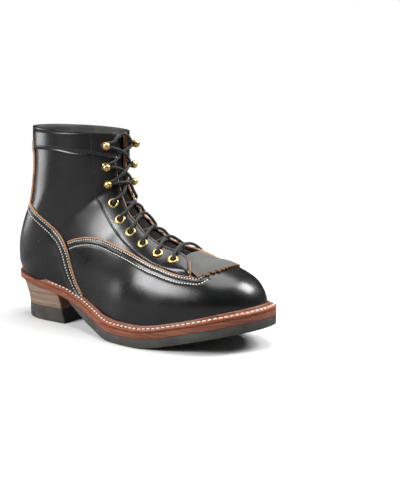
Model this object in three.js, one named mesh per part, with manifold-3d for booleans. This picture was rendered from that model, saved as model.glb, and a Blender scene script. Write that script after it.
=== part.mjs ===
// Logger boot for the right foot: lasted leather upper on a welted sole with a stacked heel.
// Millimetres, +Z up, +X towards the toe, +Y towards the medial side.
// The table frame has x = 0 at the back of the sole; the group is then centred on the boot's box.
import * as THREE from 'three';
import { mergeVertices } from 'three/addons/utils/BufferGeometryUtils.js';
import Module from 'manifold-3d';

const wasm = await Module();
wasm.setup();

// Driving dimensions of the last and the shaft
const soleLength = 299.5;
const ballWidth = 106.4;
const seatHeight = 49;
const toeSpring = 22.3;
const instepHeight = 102;
const shaftHeight = 72.7;

// Leather
const upperWall = 2.2;
const overlayThickness = 1.5;
const tongueThickness = 1.8;
const kiltieThickness = 2;
const insoleThickness = 3.2;

// Sole
const rubberThickness = 8.6;
const midsoleThickness = 5.6;
const weltThickness = 2.9;
const stormRidgeHeight = 2.8;
const stormRidgeThickness = 2.2;
const weltMargin = 8.6;
const seatMargin = 3.6;
const heelCapHeight = 14.2;
const heelLength = 66.5;
const heelWidth = 65;
const heelBackInset = 12.6;
const heelBreastRake = 8.5;
const heelLift = 6.5;
const skiveEdge = 0.9;
const weltSkive = 16;
const waistSkive = 34.5;

// Throat
const throatHalfWidth = 7.6;
const throatFootHalfWidth = 14.2;
const throatEndRadius = 9;
const tongueLap = 9;
const kiltieToothDepth = 2.2;
const kiltieTeeth = 16;

// Hardware and lace
const eyeletOuterRadius = 5.2;
const eyeletHoleRadius = 2.7;
const eyeletThickness = 1;
const eyeletInset = 12;
const eyeletsPerSide = 6;
const hooksPerSide = 3;
const hookBallRadius = 3.9;
const hookBallHeight = 6.2;
const hookBaseRadius = 3.6;
const hookBaseThickness = 0.9;
const hookStemRadius = 1.7;
const hookInset = -6;
const laceDiameter = 3;

// Clearances
const layerGap = 0.3;
const innerGap = 2;
const hardwareGap = 0.9;
const borderGap = 0.4;
const hookGap = 0.45;
const facetGap = 0.05;

// Working resolution of the curved surfaces
const toeRows = 4;
const rowsPerSection = 1.25;
const halfColumns = 10;
const profilePoints = 40;
const probe = 0.02;
const groundStations = 22;
const soleStations = 44;
const weltStations = 24;
const stationEase = 0.55;
const cutterReach = 6;
const insoleStep = 0.36;

const colours = {
  leather: 0x2b2c2e, rawEdge: 0xb0754a, kiltie: 0x6a6b6c, welt: 0x8f4a33, midsole: 0xa66a48,
  rubber: 0x4b4b48, stack: 0x8a7468, brass: 0xb8924a, lace: 0x242424, insole: 0xb98a62,
};

// Monotone cubic through a table column, so that a curve never swings past its points
function monotone(xs, ys) {
  const n = xs.length;
  const step = xs.slice(1).map((x, i) => x - xs[i]);
  const rise = step.map((h, i) => (ys[i + 1] - ys[i]) / h);
  const slope = ys.map((_, i) => {
    if (i === 0) return rise[0];
    if (i === n - 1) return rise[n - 2];
    if (rise[i - 1] * rise[i] <= 0) return 0;
    const w1 = 2 * step[i] + step[i - 1];
    const w2 = step[i] + 2 * step[i - 1];
    return (w1 + w2) / (w1 / rise[i - 1] + w2 / rise[i]);
  });
  return (x) => {
    let i = 0;
    while (i < n - 2 && x > xs[i + 1]) i += 1;
    const t = THREE.MathUtils.clamp((x - xs[i]) / step[i], 0, 1);
    const t2 = t * t;
    const t3 = t2 * t;
    return (2 * t3 - 3 * t2 + 1) * ys[i] + (t3 - 2 * t2 + t) * step[i] * slope[i]
      + (3 * t2 - 2 * t3) * ys[i + 1] + (t3 - t2) * step[i] * slope[i + 1];
  };
}

// A table with named columns becomes one curve for each column against the first one
function tableCurves(names, rows) {
  const key = rows.map((row) => row[0]);
  const curves = {};
  names.slice(1).forEach((name, c) => { curves[name] = monotone(key, rows.map((row) => row[c + 1])); });
  return curves;
}

// Same, with the row number as the key
function sectionCurves(names, rows) {
  const curves = {};
  const key = rows.map((_, i) => i);
  names.forEach((name, c) => { curves[name] = monotone(key, rows.map((row) => row[c])); });
  return curves;
}

// Rounded end of an outline: 0 at the tip, 1 from the radius on
function endRound(distance, radius, power) {
  const u = THREE.MathUtils.clamp(1 - Math.max(distance, 0) / radius, 0, 1);
  return (1 - u ** power) ** (1 / power);
}

// Sole profile: heelLift is a share of the seat's height over the sole, spring of the toe spring
const soleThickness = rubberThickness + layerGap + midsoleThickness;
const soleProfile = tableCurves(['along', 'heelLift', 'spring'], [
  [0, 1, 0], [0.083, 0.913, 0], [0.167, 0.745, 0], [0.25, 0.62, 0], [0.334, 0.45, 0],
  [0.417, 0.235, 0], [0.501, 0.045, 0], [0.555, 0, 0], [0.635, 0, 0], [0.7, 0, 0.09],
  [0.76, 0, 0.265], [0.84, 0, 0.53], [0.92, 0, 0.79], [1, 0, 1],
]);

// Sole outline: half widths as shares of the ball width
const soleOutline = tableCurves(['along', 'lateral', 'medial'], [
  [0, 0.287, 0.282], [0.067, 0.321, 0.315], [0.15, 0.333, 0.322], [0.25, 0.332, 0.306],
  [0.35, 0.376, 0.296], [0.434, 0.45, 0.315], [0.534, 0.547, 0.371], [0.634, 0.568, 0.432],
  [0.718, 0.534, 0.466], [0.8, 0.477, 0.478], [0.885, 0.408, 0.466], [0.95, 0.358, 0.447],
  [1, 0.32, 0.425],
]);
const toeSwing = 0.103 * ballWidth;
const swingStart = 0.568;
const heelRound = { radius: 0.113 * soleLength, power: 2.1 };
const toeRound = { radius: 0.167 * soleLength, power: 2.15 };

function midsoleTop(x) {
  const along = x / soleLength;
  return soleThickness + (seatHeight - soleThickness) * soleProfile.heelLift(along)
    + toeSpring * soleProfile.spring(along);
}

// The centre line swings to the medial side towards the toe
function centreLine(x) {
  return toeSwing * Math.max((x / soleLength - swingStart) / (1 - swingStart), 0) ** 1.5;
}

function outlineAt(x) {
  const along = x / soleLength;
  const centre = centreLine(x);
  const round = endRound(x, heelRound.radius, heelRound.power)
    * endRound(soleLength - x, toeRound.radius, toeRound.power);
  return {
    lateral: centre - (soleOutline.lateral(along) * ballWidth + centre) * round,
    medial: centre + (soleOutline.medial(along) * ballWidth - centre) * round,
  };
}

// Margin between the sole's edge and the foot of the upper
function marginAt(x) {
  const k = THREE.MathUtils.smoothstep(x / soleLength, 0.1, 0.3);
  return seatMargin + (weltMargin - seatMargin) * k;
}

// Sections of the last, from the toe tip to the collar. Each lies in a plane through its ridge point
// and its base point and along Y. Columns: ridge and base along the sole, their heights over the
// sole as shares of the instep and the shaft, half widths as shares of the ball width, the share of
// the height where the section is widest, and the roundness over and under that height.
const lastTip = soleLength - weltMargin - 1;
const heelPoint = 3.4;
const tipShare = lastTip / soleLength;
const sectionTable = [
  [tipShare, 0.25, 0, tipShare, 0, 0, 0.323, 0.25, 0.2, 2.3, 2.3],
  [0.9, 0.346, 0, 0.9, 0, 0, 0.38, 0.31, 0.22, 2.3, 2.3],
  [0.848, 0.442, 0, 0.835, 0, 0, 0.424, 0.36, 0.24, 2.25, 2.2],
  [0.788, 0.544, 0, 0.755, 0, 0, 0.462, 0.388, 0.24, 2.2, 2.2],
  [0.715, 0.666, 0, 0.668, 0, 0, 0.487, 0.374, 0.24, 2.1, 2.2],
  [0.634, 0.784, 0, 0.568, 0, 0, 0.475, 0.34, 0.26, 2, 2.2],
  [0.568, 0.89, 0, 0.454, 0, 0, 0.406, 0.308, 0.28, 1.95, 2.2],
  [0.518, 1, 0, 0.334, 0, 0, 0.355, 0.303, 0.3, 1.9, 2.3],
  [0.484, 1, 0.143, 0.207, 0, 0, 0.336, 0.312, 0.34, 1.9, 2.4],
  [0.462, 1, 0.293, 0.093, 0, 0, 0.33, 0.316, 0.37, 1.9, 2.5],
  [0.456, 1, 0.36, heelPoint / soleLength, 0, 0, 0.332, 0.321, 0.39, 1.9, 2.45],
  [0.451, 1, 0.43, 0.006, 0.186, 0, 0.335, 0.326, 0.42, 1.9, 2.4],
  [0.444, 1, 0.547, 0.024, 0.425, 0, 0.342, 0.336, 0.45, 1.95, 2.25],
  [0.441, 1, 0.681, 0.064, 0.715, 0, 0.352, 0.348, 0.47, 2, 2.1],
  [0.4385, 1, 0.816, 0.081, 1, 0.022, 0.361, 0.36, 0.48, 2, 2],
  [0.4375, 1, 1, 0.087, 1, 0.721, 0.366, 0.366, 0.49, 2, 2],
];
const section = sectionCurves([
  'ridgeX', 'ridgeInstep', 'ridgeShaft', 'baseX', 'baseInstep', 'baseShaft',
  'lateral', 'medial', 'equator', 'round', 'belly',
], sectionTable);
const collarRow = sectionTable.length - 1;
const heelRow = 10;
const shaftRow = 8;
const heelTurnRows = [8.6, 9.1, 9.4, 9.65, 9.8];
const toeHeightRound = { radius: 0.08 * soleLength, power: 2.3 };
const tipWidthRound = { radius: 0.145 * soleLength, power: 2.15 };
const heelFootRound = { radius: 0.107 * soleLength, power: 2.1 };

function heightOverSole(x, instepShare, shaftShare) {
  return midsoleTop(x) + layerGap + instepShare * instepHeight + shaftShare * shaftHeight;
}

// One half of section s as a line from the feather edge or the back seam up to the ridge
function halfSection(s, side) {
  const ridgeX = section.ridgeX(s) * soleLength;
  const baseX = section.baseX(s) * soleLength;
  const foot = midsoleTop(ridgeX) + layerGap;
  const toeClose = endRound(lastTip - ridgeX, toeHeightRound.radius, toeHeightRound.power);
  const fullRidge = heightOverSole(ridgeX, section.ridgeInstep(s), section.ridgeShaft(s));
  const ridgeZ = foot + (fullRidge - foot) * toeClose;
  const baseZ = heightOverSole(baseX, section.baseInstep(s), section.baseShaft(s));
  const tipClose = endRound(lastTip - baseX, tipWidthRound.radius, tipWidthRound.power);
  const centre = centreLine(baseX);
  const width = (side < 0 ? section.lateral(s) : section.medial(s)) * ballWidth * tipClose;
  let feather = 0;
  if (s < heelRow) {
    const along = baseX / soleLength;
    const edge = side < 0
      ? soleOutline.lateral(along) * ballWidth + centre
      : soleOutline.medial(along) * ballWidth - centre;
    const heelClose = endRound(baseX - heelPoint, heelFootRound.radius, heelFootRound.power);
    feather = (edge - marginAt(baseX)) * heelClose * tipClose;
  }
  const equator = section.equator(s);
  const round = section.round(s);
  const belly = section.belly(s);
  const ratio = Math.min(feather / Math.max(width, 1e-6), 0.99);
  const reach = ratio > 0.001 ? equator / (1 - ratio ** belly) ** (1 / belly) : equator;
  const start = Math.acos(Math.min(1, equator / reach) ** (belly / 2));
  const line = [];
  const half = profilePoints / 2;
  for (let i = 0; i < half; i += 1) {
    const angle = start + (Math.PI / 2 - start) * (i / half);
    line.push([equator - reach * Math.cos(angle) ** (2 / belly), width * Math.sin(angle) ** (2 / belly)]);
  }
  for (let i = 0; i < half; i += 1) {
    const angle = (Math.PI / 2) * (i / (half - 1));
    line.push([equator + (1 - equator) * Math.sin(angle) ** (2 / round),
      width * Math.max(Math.cos(angle), 0) ** (2 / round)]);
  }
  const points = line.map(([up, out]) => new THREE.Vector3(
    baseX + (ridgeX - baseX) * up, centre + side * out, baseZ + (ridgeZ - baseZ) * up,
  ));
  const lengths = [0];
  for (let i = 1; i < points.length; i += 1) {
    lengths.push(lengths[i - 1] + points[i].distanceTo(points[i - 1]));
  }
  return { points, lengths };
}

const sectionCache = new Map();

function halvesAt(s) {
  const key = s.toFixed(5);
  if (!sectionCache.has(key)) {
    sectionCache.set(key, { lateral: halfSection(s, -1), medial: halfSection(s, 1) });
  }
  return sectionCache.get(key);
}

function alongLine({ points, lengths }, share) {
  const target = THREE.MathUtils.clamp(share, 0, 1) * lengths[lengths.length - 1];
  let i = 1;
  while (i < lengths.length - 1 && lengths[i] < target) i += 1;
  const span = lengths[i] - lengths[i - 1];
  return points[i - 1].clone().lerp(points[i], span > 0 ? (target - lengths[i - 1]) / span : 0);
}

// Point of the last at section s and girth t: 0 lateral feather, 1 ridge, 2 medial feather
function lastPoint(s, t) {
  const at = Math.min(s, collarRow);
  const wrapped = at >= heelRow ? (t + 2) % 2 : t;
  const halves = halvesAt(at);
  const point = wrapped <= 1
    ? alongLine(halves.lateral, wrapped)
    : alongLine(halves.medial, 2 - wrapped);
  if (s > collarRow) point.z += (s - collarRow) * collarRise;
  return point;
}

const collarRise = 10;

function lastNormal(s, t) {
  if (s <= 0) return new THREE.Vector3(1, 0, 0);
  const at = Math.min(s, collarRow);
  const closed = at >= heelRow;
  const lowest = closed ? heelRow : 0;
  const highest = closed ? collarRow : heelRow - 1e-3;
  const ahead = lastPoint(Math.min(at + probe, highest), t);
  const alongS = ahead.sub(lastPoint(Math.max(at - probe, lowest), t));
  const low = closed ? t - probe : Math.max(t - probe, 0);
  const high = closed ? t + probe : Math.min(t + probe, 2);
  const alongT = lastPoint(at, high).sub(lastPoint(at, low));
  return alongT.cross(alongS).normalize();
}

// Point at a distance outside (positive) or inside (negative) the last
function offsetPoint(s, t, offset) {
  return lastPoint(s, t).addScaledVector(lastNormal(s, t), offset);
}

function halfGirth(s, t) {
  const halves = halvesAt(Math.min(s, collarRow));
  const lengths = t <= 1 ? halves.lateral.lengths : halves.medial.lengths;
  return lengths[lengths.length - 1];
}

// Girth value at a distance in millimetres from the ridge, on the lateral (-1) or medial (1) side
function fromRidge(s, side, distance) {
  return 1 + side * distance / halfGirth(s, 1 + side * 0.5);
}

// Closed geometry from triangles, as a solid with outward faces
function solidFromTriangles(triangles) {
  const position = new Float32Array(triangles.length * 9);
  triangles.forEach((triangle, i) => triangle.forEach((p, k) => p.toArray(position, i * 9 + k * 3)));
  const soup = new THREE.BufferGeometry();
  soup.setAttribute('position', new THREE.BufferAttribute(position, 3));
  return solidFromGeometry(soup);
}

function solidFromGeometry(geometry) {
  geometry.deleteAttribute('normal');
  geometry.deleteAttribute('uv');
  const merged = mergeVertices(geometry, 1e-4);
  const vertices = merged.getAttribute('position').array;
  const kept = [];
  const index = merged.getIndex().array;
  let volume = 0;
  for (let i = 0; i < index.length; i += 3) {
    const [a, b, c] = [index[i], index[i + 1], index[i + 2]];
    if (a === b || b === c || a === c) continue;
    kept.push(a, b, c);
    const corner = (k) => new THREE.Vector3().fromArray(vertices, k * 3);
    volume += corner(a).dot(corner(b).cross(corner(c)));
  }
  const triVerts = Uint32Array.from(kept);
  if (volume < 0) triVerts.reverse();
  return new wasm.Manifold(new wasm.Mesh({ numProp: 3, vertProperties: vertices, triVerts }));
}

function quad(triangles, a, b, c, d) {
  triangles.push([a, b, c], [a, c, d]);
}

// Rows of the form: close together at the toe, even over the foot, then one a section over the shaft
const formRows = [];
for (let i = 0; i < toeRows; i += 1) formRows.push(1 - Math.cos((i / toeRows) * (Math.PI / 2)));
for (let s = 1; s < shaftRow - 0.1; s += 1 / rowsPerSection) formRows.push(s);
formRows.push(shaftRow, ...heelTurnRows);
for (let s = heelRow; s <= collarRow; s += 1) formRows.push(s);

// The whole last at an offset, closed below by a skirt under the feather edge and above by a rise
function lastForm(offset, skirt, rise) {
  const columns = halfColumns * 2;
  const rows = formRows.map((s) => {
    const row = [];
    for (let j = 0; j <= columns; j += 1) row.push(offsetPoint(s, j / halfColumns, offset));
    if (s >= heelRow) row[columns] = row[0].clone();
    return row;
  });
  const down = (p) => p.clone().setZ(p.z - skirt);
  const triangles = [];
  for (let i = 0; i < rows.length - 1; i += 1) {
    const [near, far] = [rows[i], rows[i + 1]];
    for (let j = 0; j < columns; j += 1) quad(triangles, near[j], near[j + 1], far[j + 1], far[j]);
    if (formRows[i] < heelRow) {
      const corners = [near[0], near[columns], far[columns], far[0]];
      const feet = corners.map(down);
      if (skirt > 0) {
        quad(triangles, near[0], far[0], feet[3], feet[0]);
        quad(triangles, far[columns], near[columns], feet[1], feet[2]);
      }
      quad(triangles, feet[0], feet[3], feet[2], feet[1]);
    }
  }
  const top = rows[rows.length - 1];
  const lid = top.map((p) => p.clone().setZ(p.z + rise));
  const centre = new THREE.Vector3();
  for (let j = 0; j < columns; j += 1) centre.addScaledVector(lid[j], 1 / columns);
  for (let j = 0; j < columns; j += 1) {
    if (rise > 0) quad(triangles, top[j], top[j + 1], lid[j + 1], lid[j]);
    triangles.push([lid[j], lid[j + 1], centre]);
  }
  return solidFromTriangles(triangles);
}

// A thick patch of the last between two offsets; place(u, v) gives its section and girth
function lastPatch(place, columns, rows, inner, outer) {
  const grid = [inner, outer].map((offset) => {
    const lines = [];
    for (let i = 0; i <= rows; i += 1) {
      const line = [];
      for (let j = 0; j <= columns; j += 1) {
        const [s, t] = place(j / columns, i / rows);
        line.push(offsetPoint(s, t, offset));
      }
      lines.push(line);
    }
    return lines;
  });
  const [low, high] = grid;
  const triangles = [];
  for (let i = 0; i < rows; i += 1) {
    for (let j = 0; j < columns; j += 1) {
      quad(triangles, high[i][j], high[i][j + 1], high[i + 1][j + 1], high[i + 1][j]);
      quad(triangles, low[i][j], low[i + 1][j], low[i + 1][j + 1], low[i][j + 1]);
    }
    quad(triangles, low[i][0], high[i][0], high[i + 1][0], low[i + 1][0]);
    quad(triangles, high[i][columns], low[i][columns], low[i + 1][columns], high[i + 1][columns]);
  }
  for (let j = 0; j < columns; j += 1) {
    quad(triangles, low[0][j], low[0][j + 1], high[0][j + 1], high[0][j]);
    quad(triangles, high[rows][j], high[rows][j + 1], low[rows][j + 1], low[rows][j]);
  }
  return solidFromTriangles(triangles);
}

// A plate of the sole between two stations, with its own outline and curved top and bottom
function solePlate(startX, endX, stations, outline, top, bottom) {
  const rows = [];
  for (let i = 0; i <= stations; i += 1) {
    const even = i / stations;
    const eased = (1 - Math.cos(even * Math.PI)) / 2;
    const x = startX + (endX - startX) * (even + (eased - even) * stationEase);
    const { lateral, medial } = outline(x);
    rows.push([
      new THREE.Vector3(x, lateral, top(x)), new THREE.Vector3(x, medial, top(x)),
      new THREE.Vector3(x, medial, bottom(x)), new THREE.Vector3(x, lateral, bottom(x)),
    ]);
  }
  const triangles = [];
  for (let i = 0; i < stations; i += 1) {
    const [near, far] = [rows[i], rows[i + 1]];
    for (let k = 0; k < 4; k += 1) {
      const next = (k + 1) % 4;
      quad(triangles, near[k], far[k], far[next], near[next]);
    }
  }
  quad(triangles, ...rows[0]);
  quad(triangles, ...rows[stations].slice().reverse());
  return solidFromTriangles(triangles);
}

const featherSkirt = 6;
const overlayInner = layerGap + facetGap;
const overlayOuter = overlayInner + overlayThickness;

// Throat: half width against the section row, round at its foot and open at the collar
const throatEnd = 3.3;
const throatTop = collarRow + 0.6;
const throatWidth = tableCurves(['row', 'foot'], [
  [throatEnd, 1], [5, 1], [6.8, 0.62], [8, 0.25], [9.5, 0], [throatTop, 0],
]);

function throatHalf(s) {
  const width = throatHalfWidth + (throatFootHalfWidth - throatHalfWidth) * throatWidth.foot(s);
  const fromEnd = lastPoint(s, 1).distanceTo(lastPoint(throatEnd, 1));
  return width * (0.03 + 0.97 * endRound(fromEnd, throatEndRadius, 2));
}

const throatRows = 16;
const tongueStart = 2.9;
function throatCutter() {
  return lastPatch((u, v) => {
    const s = throatEnd + (throatTop - throatEnd) * v ** 1.25;
    const distance = (2 * u - 1) * throatHalf(s);
    return [s, fromRidge(s, Math.sign(distance) || 1, Math.abs(distance))];
  }, 2, throatRows, -upperWall - cutterReach, cutterReach);
}

// The shell between two offsets that overlays are cut from
const overlayShell = lastForm(overlayOuter, featherSkirt, 0)
  .subtract(lastForm(overlayInner, featherSkirt + 2, collarRise));
const throat = throatCutter();

// Borders of the overlays in side view: along the sole, and height over the sole as a share of the upper
const upperHeight = instepHeight + shaftHeight;
const counterBorder = [
  [0.375, -0.1], [0.367, 0.048], [0.349, 0.091], [0.328, 0.162], [0.316, 0.211], [0.302, 0.265],
  [0.28, 0.308], [0.247, 0.346], [0.206, 0.385], [0.144, 0.427], [0.067, 0.45], [-0.1, 0.45],
];
const vampBorder = [
  [0.296, 0.309], [0.325, 0.341], [0.363, 0.374], [0.413, 0.404], [0.466, 0.414], [0.515, 0.409],
  [0.562, 0.393], [0.622, 0.362], [0.69, 0.322], [0.74, 0.286], [0.778, 0.263], [0.8, 0.256],
  [0.815, 0.3], [0.82, 0.5],
];
const bandBorder = [
  [-0.1, 0.70], [0.067, 0.741], [0.144, 0.77], [0.274, 0.815], [0.383, 0.846], [0.467, 0.858], [0.6, 0.9],
];
const backstayBorder = [
  [0.13, 0.35], [0.1, 0.43], [0.088, 0.51], [0.102, 0.62], [0.11, 0.75], [0.11, 0.9],
];
const cutWidth = ballWidth * 2;

function borderPoint([along, height]) {
  const x = along * soleLength;
  return new THREE.Vector2(x, midsoleTop(Math.max(x, 0)) + layerGap + height * upperHeight);
}

// A prism across the boot from a side outline: a smooth border, then straight corners
function sidePrism(border, steps, corners) {
  const curve = new THREE.SplineCurve(border.map(borderPoint));
  const outline = curve.getPoints(steps).concat(corners.map(([x, z]) => new THREE.Vector2(x, z)));
  const shape = new THREE.Shape(outline);
  const geometry = new THREE.ExtrudeGeometry(shape, { depth: cutWidth, bevelEnabled: false });
  geometry.rotateX(Math.PI / 2);
  geometry.translate(0, cutWidth / 2, 0);
  return solidFromGeometry(geometry);
}

const behind = -soleLength;
const ahead = soleLength * 2;
const under = -upperHeight;
const over = seatHeight + upperHeight * 2;

// Everything under the feather edge, so that each layer stands on the sole with its gap
const wholeWidth = () => ({ lateral: -cutWidth / 2, medial: cutWidth / 2 });
const ground = solePlate(-soleLength * 0.1, soleLength * 1.1, groundStations, wholeWidth,
  (x) => midsoleTop(THREE.MathUtils.clamp(x, 0, soleLength)) + layerGap, () => under);

function moved(prism, x, z) {
  return prism.translate([x, 0, z]);
}

const counterPrism = sidePrism(counterBorder, 24, [[behind, over / 2], [behind, under]]);
const vampPrism = sidePrism(vampBorder, 36, [[ahead, over], [ahead, under], [behind, under], [behind, 0]]);
const bandPrism = sidePrism(bandBorder, 12, [[ahead, over], [behind, over]]);
const backstayPrism = sidePrism(backstayBorder, 10, [[behind, over], [behind, under]]);

const upperForm = lastForm(0, featherSkirt, 0);

function makeUpper() {
  const inside = lastForm(-upperWall, featherSkirt + 2, collarRise);
  return upperForm.subtract(inside).subtract(throat).subtract(ground);
}

function makeCounter() {
  return overlayShell.intersect(counterPrism).subtract(ground).subtract(moved(upperForm, -layerGap, 0));
}

// The facings with their eyelets, which the vamp keeps clear of
function facingCutter() {
  const reach = eyeletInset + eyeletOuterRadius + borderGap;
  return lastPatch((u, v) => {
    const s = throatEnd + (throatTop - throatEnd) * v;
    const distance = (2 * u - 1) * (throatHalf(s) + reach);
    return [s, fromRidge(s, Math.sign(distance) || 1, Math.abs(distance))];
  }, 4, throatRows, -cutterReach, cutterReach);
}

function makeVamp() {
  const behindCounter = moved(counterPrism, borderGap, borderGap);
  return overlayShell.intersect(vampPrism)
    .subtract(behindCounter).subtract(ground).subtract(facingCutter());
}

function makeCollarBand() {
  return overlayShell.intersect(bandPrism).subtract(throat);
}

function makeBackstay() {
  return overlayShell.intersect(backstayPrism)
    .subtract(moved(counterPrism, 0, borderGap))
    .subtract(moved(bandPrism, 0, -borderGap));
}

// Tongue behind the throat, from under the vamp to the collar
function makeTongue() {
  const end = collarRow - 0.1;
  const lines = [...formRows.filter((s) => s > tongueStart && s < end), end];
  return lastPatch((u, v) => {
    const s = lines[Math.round(v * (lines.length - 1))];
    const half = throatHalfWidth + tongueLap
      + (throatFootHalfWidth - throatHalfWidth) * throatWidth.foot(Math.max(s, throatEnd));
    const distance = (2 * u - 1) * half;
    return [s, fromRidge(s, Math.sign(distance) || 1, Math.abs(distance))];
  }, 6, lines.length - 1, -upperWall - innerGap - tongueThickness, -upperWall - innerGap);
}

// Kiltie over the foot of the throat, with a pinked front edge. Its half width is a share of the
// throat's, and its front edge bows back from the middle to the sides.
const kiltieRear = 3.75;
const kiltieFront = 1.78;
const kiltieBow = { depth: 0.78, power: 2.4 };
const kiltieRows = 4;
const kiltieSpread = tableCurves(['along', 'half'], [
  [0, 0.72], [0.2, 0.74], [0.32, 0.8], [0.45, 1.5], [0.6, 2], [1, 2.3],
]);

function makeKiltie() {
  const frontRow = (u) => kiltieFront + kiltieBow.depth * Math.abs(2 * u - 1) ** kiltieBow.power;
  const rowLength = lastPoint(2, 1).distanceTo(lastPoint(3, 1));
  const columns = kiltieTeeth * 2;
  return lastPatch((u, v) => {
    const tooth = Math.round(u * columns) % 2 === 0 ? 0 : kiltieToothDepth / rowLength;
    const s = kiltieRear + (frontRow(u) + tooth - kiltieRear) * v;
    const distance = (2 * u - 1) * throatFootHalfWidth * kiltieSpread.half(v);
    return [s, fromRidge(s, Math.sign(distance) || 1, Math.abs(distance))];
  }, columns, kiltieRows, overlayOuter + layerGap, overlayOuter + layerGap + kiltieThickness);
}

// Insole: follows the inside of the upper's foot
function makeInsole() {
  const side = -upperWall - innerGap;
  const rows = [];
  for (let s = insoleStep / 2; s < heelTurnRows[0]; s += insoleStep) rows.push(s);
  rows.push(...heelTurnRows);
  const outlinePoint = (s, t) => {
    const p = lastPoint(s, t);
    const n = lastNormal(s, t).setZ(0).normalize();
    return p.addScaledVector(n, side);
  };
  const lines = rows.map((s) => {
    const [l, m] = [outlinePoint(s, 0), outlinePoint(s, 2)];
    const at = (p, lift) => new THREE.Vector3(p.x, p.y, midsoleTop(p.x) + layerGap + lift);
    return [at(l, insoleThickness), at(m, insoleThickness), at(m, 0), at(l, 0)];
  });
  const triangles = [];
  for (let i = 0; i < lines.length - 1; i += 1) {
    for (let k = 0; k < 4; k += 1) {
      const next = (k + 1) % 4;
      quad(triangles, lines[i][k], lines[i + 1][k], lines[i + 1][next], lines[i][next]);
    }
  }
  quad(triangles, ...lines[0]);
  quad(triangles, ...lines[lines.length - 1].slice().reverse());
  return solidFromTriangles(triangles);
}

// Welt from the heel breast round the toe, with the storm ridge against the upper
const weltStart = 0.148 * soleLength;
function makeWelt() {
  const foot = (x) => midsoleTop(x) + layerGap;
  const skive = (x) => THREE.MathUtils.smoothstep(x, weltStart - 1, weltStart + weltSkive);
  const head = (x) => foot(x) + skiveEdge + (weltThickness - skiveEdge) * skive(x);
  const clear = overlayOuter + layerGap;
  const opening = lastForm(clear, featherSkirt, 1);
  const plate = solePlate(weltStart, soleLength, weltStations, outlineAt, head, foot);
  const ridgeTop = (x) => head(x) + stormRidgeHeight * skive(x);
  const collar = lastForm(clear + stormRidgeThickness, 0, 1)
    .intersect(solePlate(weltStart, soleLength, weltStations, outlineAt, ridgeTop, foot));
  return plate.add(collar).subtract(opening);
}

function makeMidsole() {
  const bottom = (x) => midsoleTop(x) - midsoleThickness;
  return solePlate(probe, soleLength - probe, soleStations, outlineAt, midsoleTop, bottom);
}

// Rubber outsole: thin at the waist, full under the ball
const rubberStart = 0.3 * soleLength;
function makeOutsole() {
  const top = (x) => midsoleTop(x) - midsoleThickness - layerGap;
  const bottom = (x) => {
    const k = THREE.MathUtils.clamp((x - rubberStart) / waistSkive, 0, 1);
    return top(x) - skiveEdge - (rubberThickness - skiveEdge) * Math.sin(k * Math.PI / 2);
  };
  return solePlate(rubberStart, soleLength - probe, soleStations, outlineAt, top, bottom);
}

// Heel: back, breast and half width as shares of the heel's own sizes, at shares of the seat's height
const heelShape = tableCurves(['height', 'backInset', 'breastRake', 'width'], [
  [0, 1, 1, 1], [0.29, 0.985, 0.58, 1.005], [0.41, 0.94, 0.42, 1.01], [0.55, 0.8, 0.2, 1.025],
  [0.67, 0.63, 0.04, 1.04], [0.82, 0.42, 0, 1.055], [0.96, 0.2, 0, 1.07],
]);
const heelPlan = { depth: 0.61 * heelWidth, power: 2.2 };
const heelArcPoints = 9;

function heelRing(z) {
  const height = z / seatHeight;
  const back = heelBackInset * heelShape.backInset(height);
  const breast = heelBackInset + heelLength - heelBreastRake * (1 - heelShape.breastRake(height));
  const half = (heelWidth / 2) * heelShape.width(height);
  const ring = [];
  for (let i = 0; i <= heelArcPoints * 2; i += 1) {
    const angle = (i / (heelArcPoints * 2)) * Math.PI - Math.PI / 2;
    const run = heelPlan.depth * (1 - Math.abs(Math.cos(angle)) ** (2 / heelPlan.power));
    const out = half * Math.sign(Math.sin(angle)) * Math.abs(Math.sin(angle)) ** (2 / heelPlan.power);
    ring.push(new THREE.Vector3(back + run, out, z));
  }
  ring.push(new THREE.Vector3(breast, half, z), new THREE.Vector3(breast, -half, z));
  return ring;
}

function heelLoft(heights) {
  const rings = heights.map(heelRing);
  const triangles = [];
  const count = rings[0].length;
  rings.slice(1).forEach((upper, k) => {
    for (let i = 0; i < count; i += 1) {
      const next = (i + 1) % count;
      quad(triangles, rings[k][i], rings[k][next], upper[next], upper[i]);
    }
  });
  [rings[0], rings[rings.length - 1]].forEach((ring, end) => {
    const middle = ring.reduce((sum, p) => sum.addScaledVector(p, 1 / count), new THREE.Vector3());
    for (let i = 0; i < count; i += 1) {
      const next = (i + 1) % count;
      triangles.push(end ? [ring[i], ring[next], middle] : [ring[next], ring[i], middle]);
    }
  });
  return solidFromTriangles(triangles);
}

function makeHeelStack() {
  const foot = heelCapHeight + layerGap;
  const heights = [];
  for (let z = foot; z < seatHeight + heelLift; z += heelLift) heights.push(z);
  const above = solePlate(-heelLength, heelLength * 2, 14, wholeWidth, () => seatHeight * 2, (x) => (
    midsoleTop(Math.max(x, 0)) - midsoleThickness - layerGap));
  return heelLoft(heights).subtract(above);
}

function makeHeelCap() {
  return heelLoft([0, heelCapHeight / 2, heelCapHeight]);
}

// Places of the eyelets and hooks along the throat, as section rows from the foot up
const eyeletRows = [4.04, 4.75, 5.57, 6.42, 7.4, 8.4];
const hookRows = [10.65, 12.45, 14.2];

function lacePlace(index, side) {
  const row = index < eyeletsPerSide ? eyeletRows[index] : hookRows[index - eyeletsPerSide];
  const s = THREE.MathUtils.clamp(row, throatEnd, collarRow);
  return { s, t: fromRidge(s, side, throatHalf(s) + eyeletInset) };
}

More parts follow.
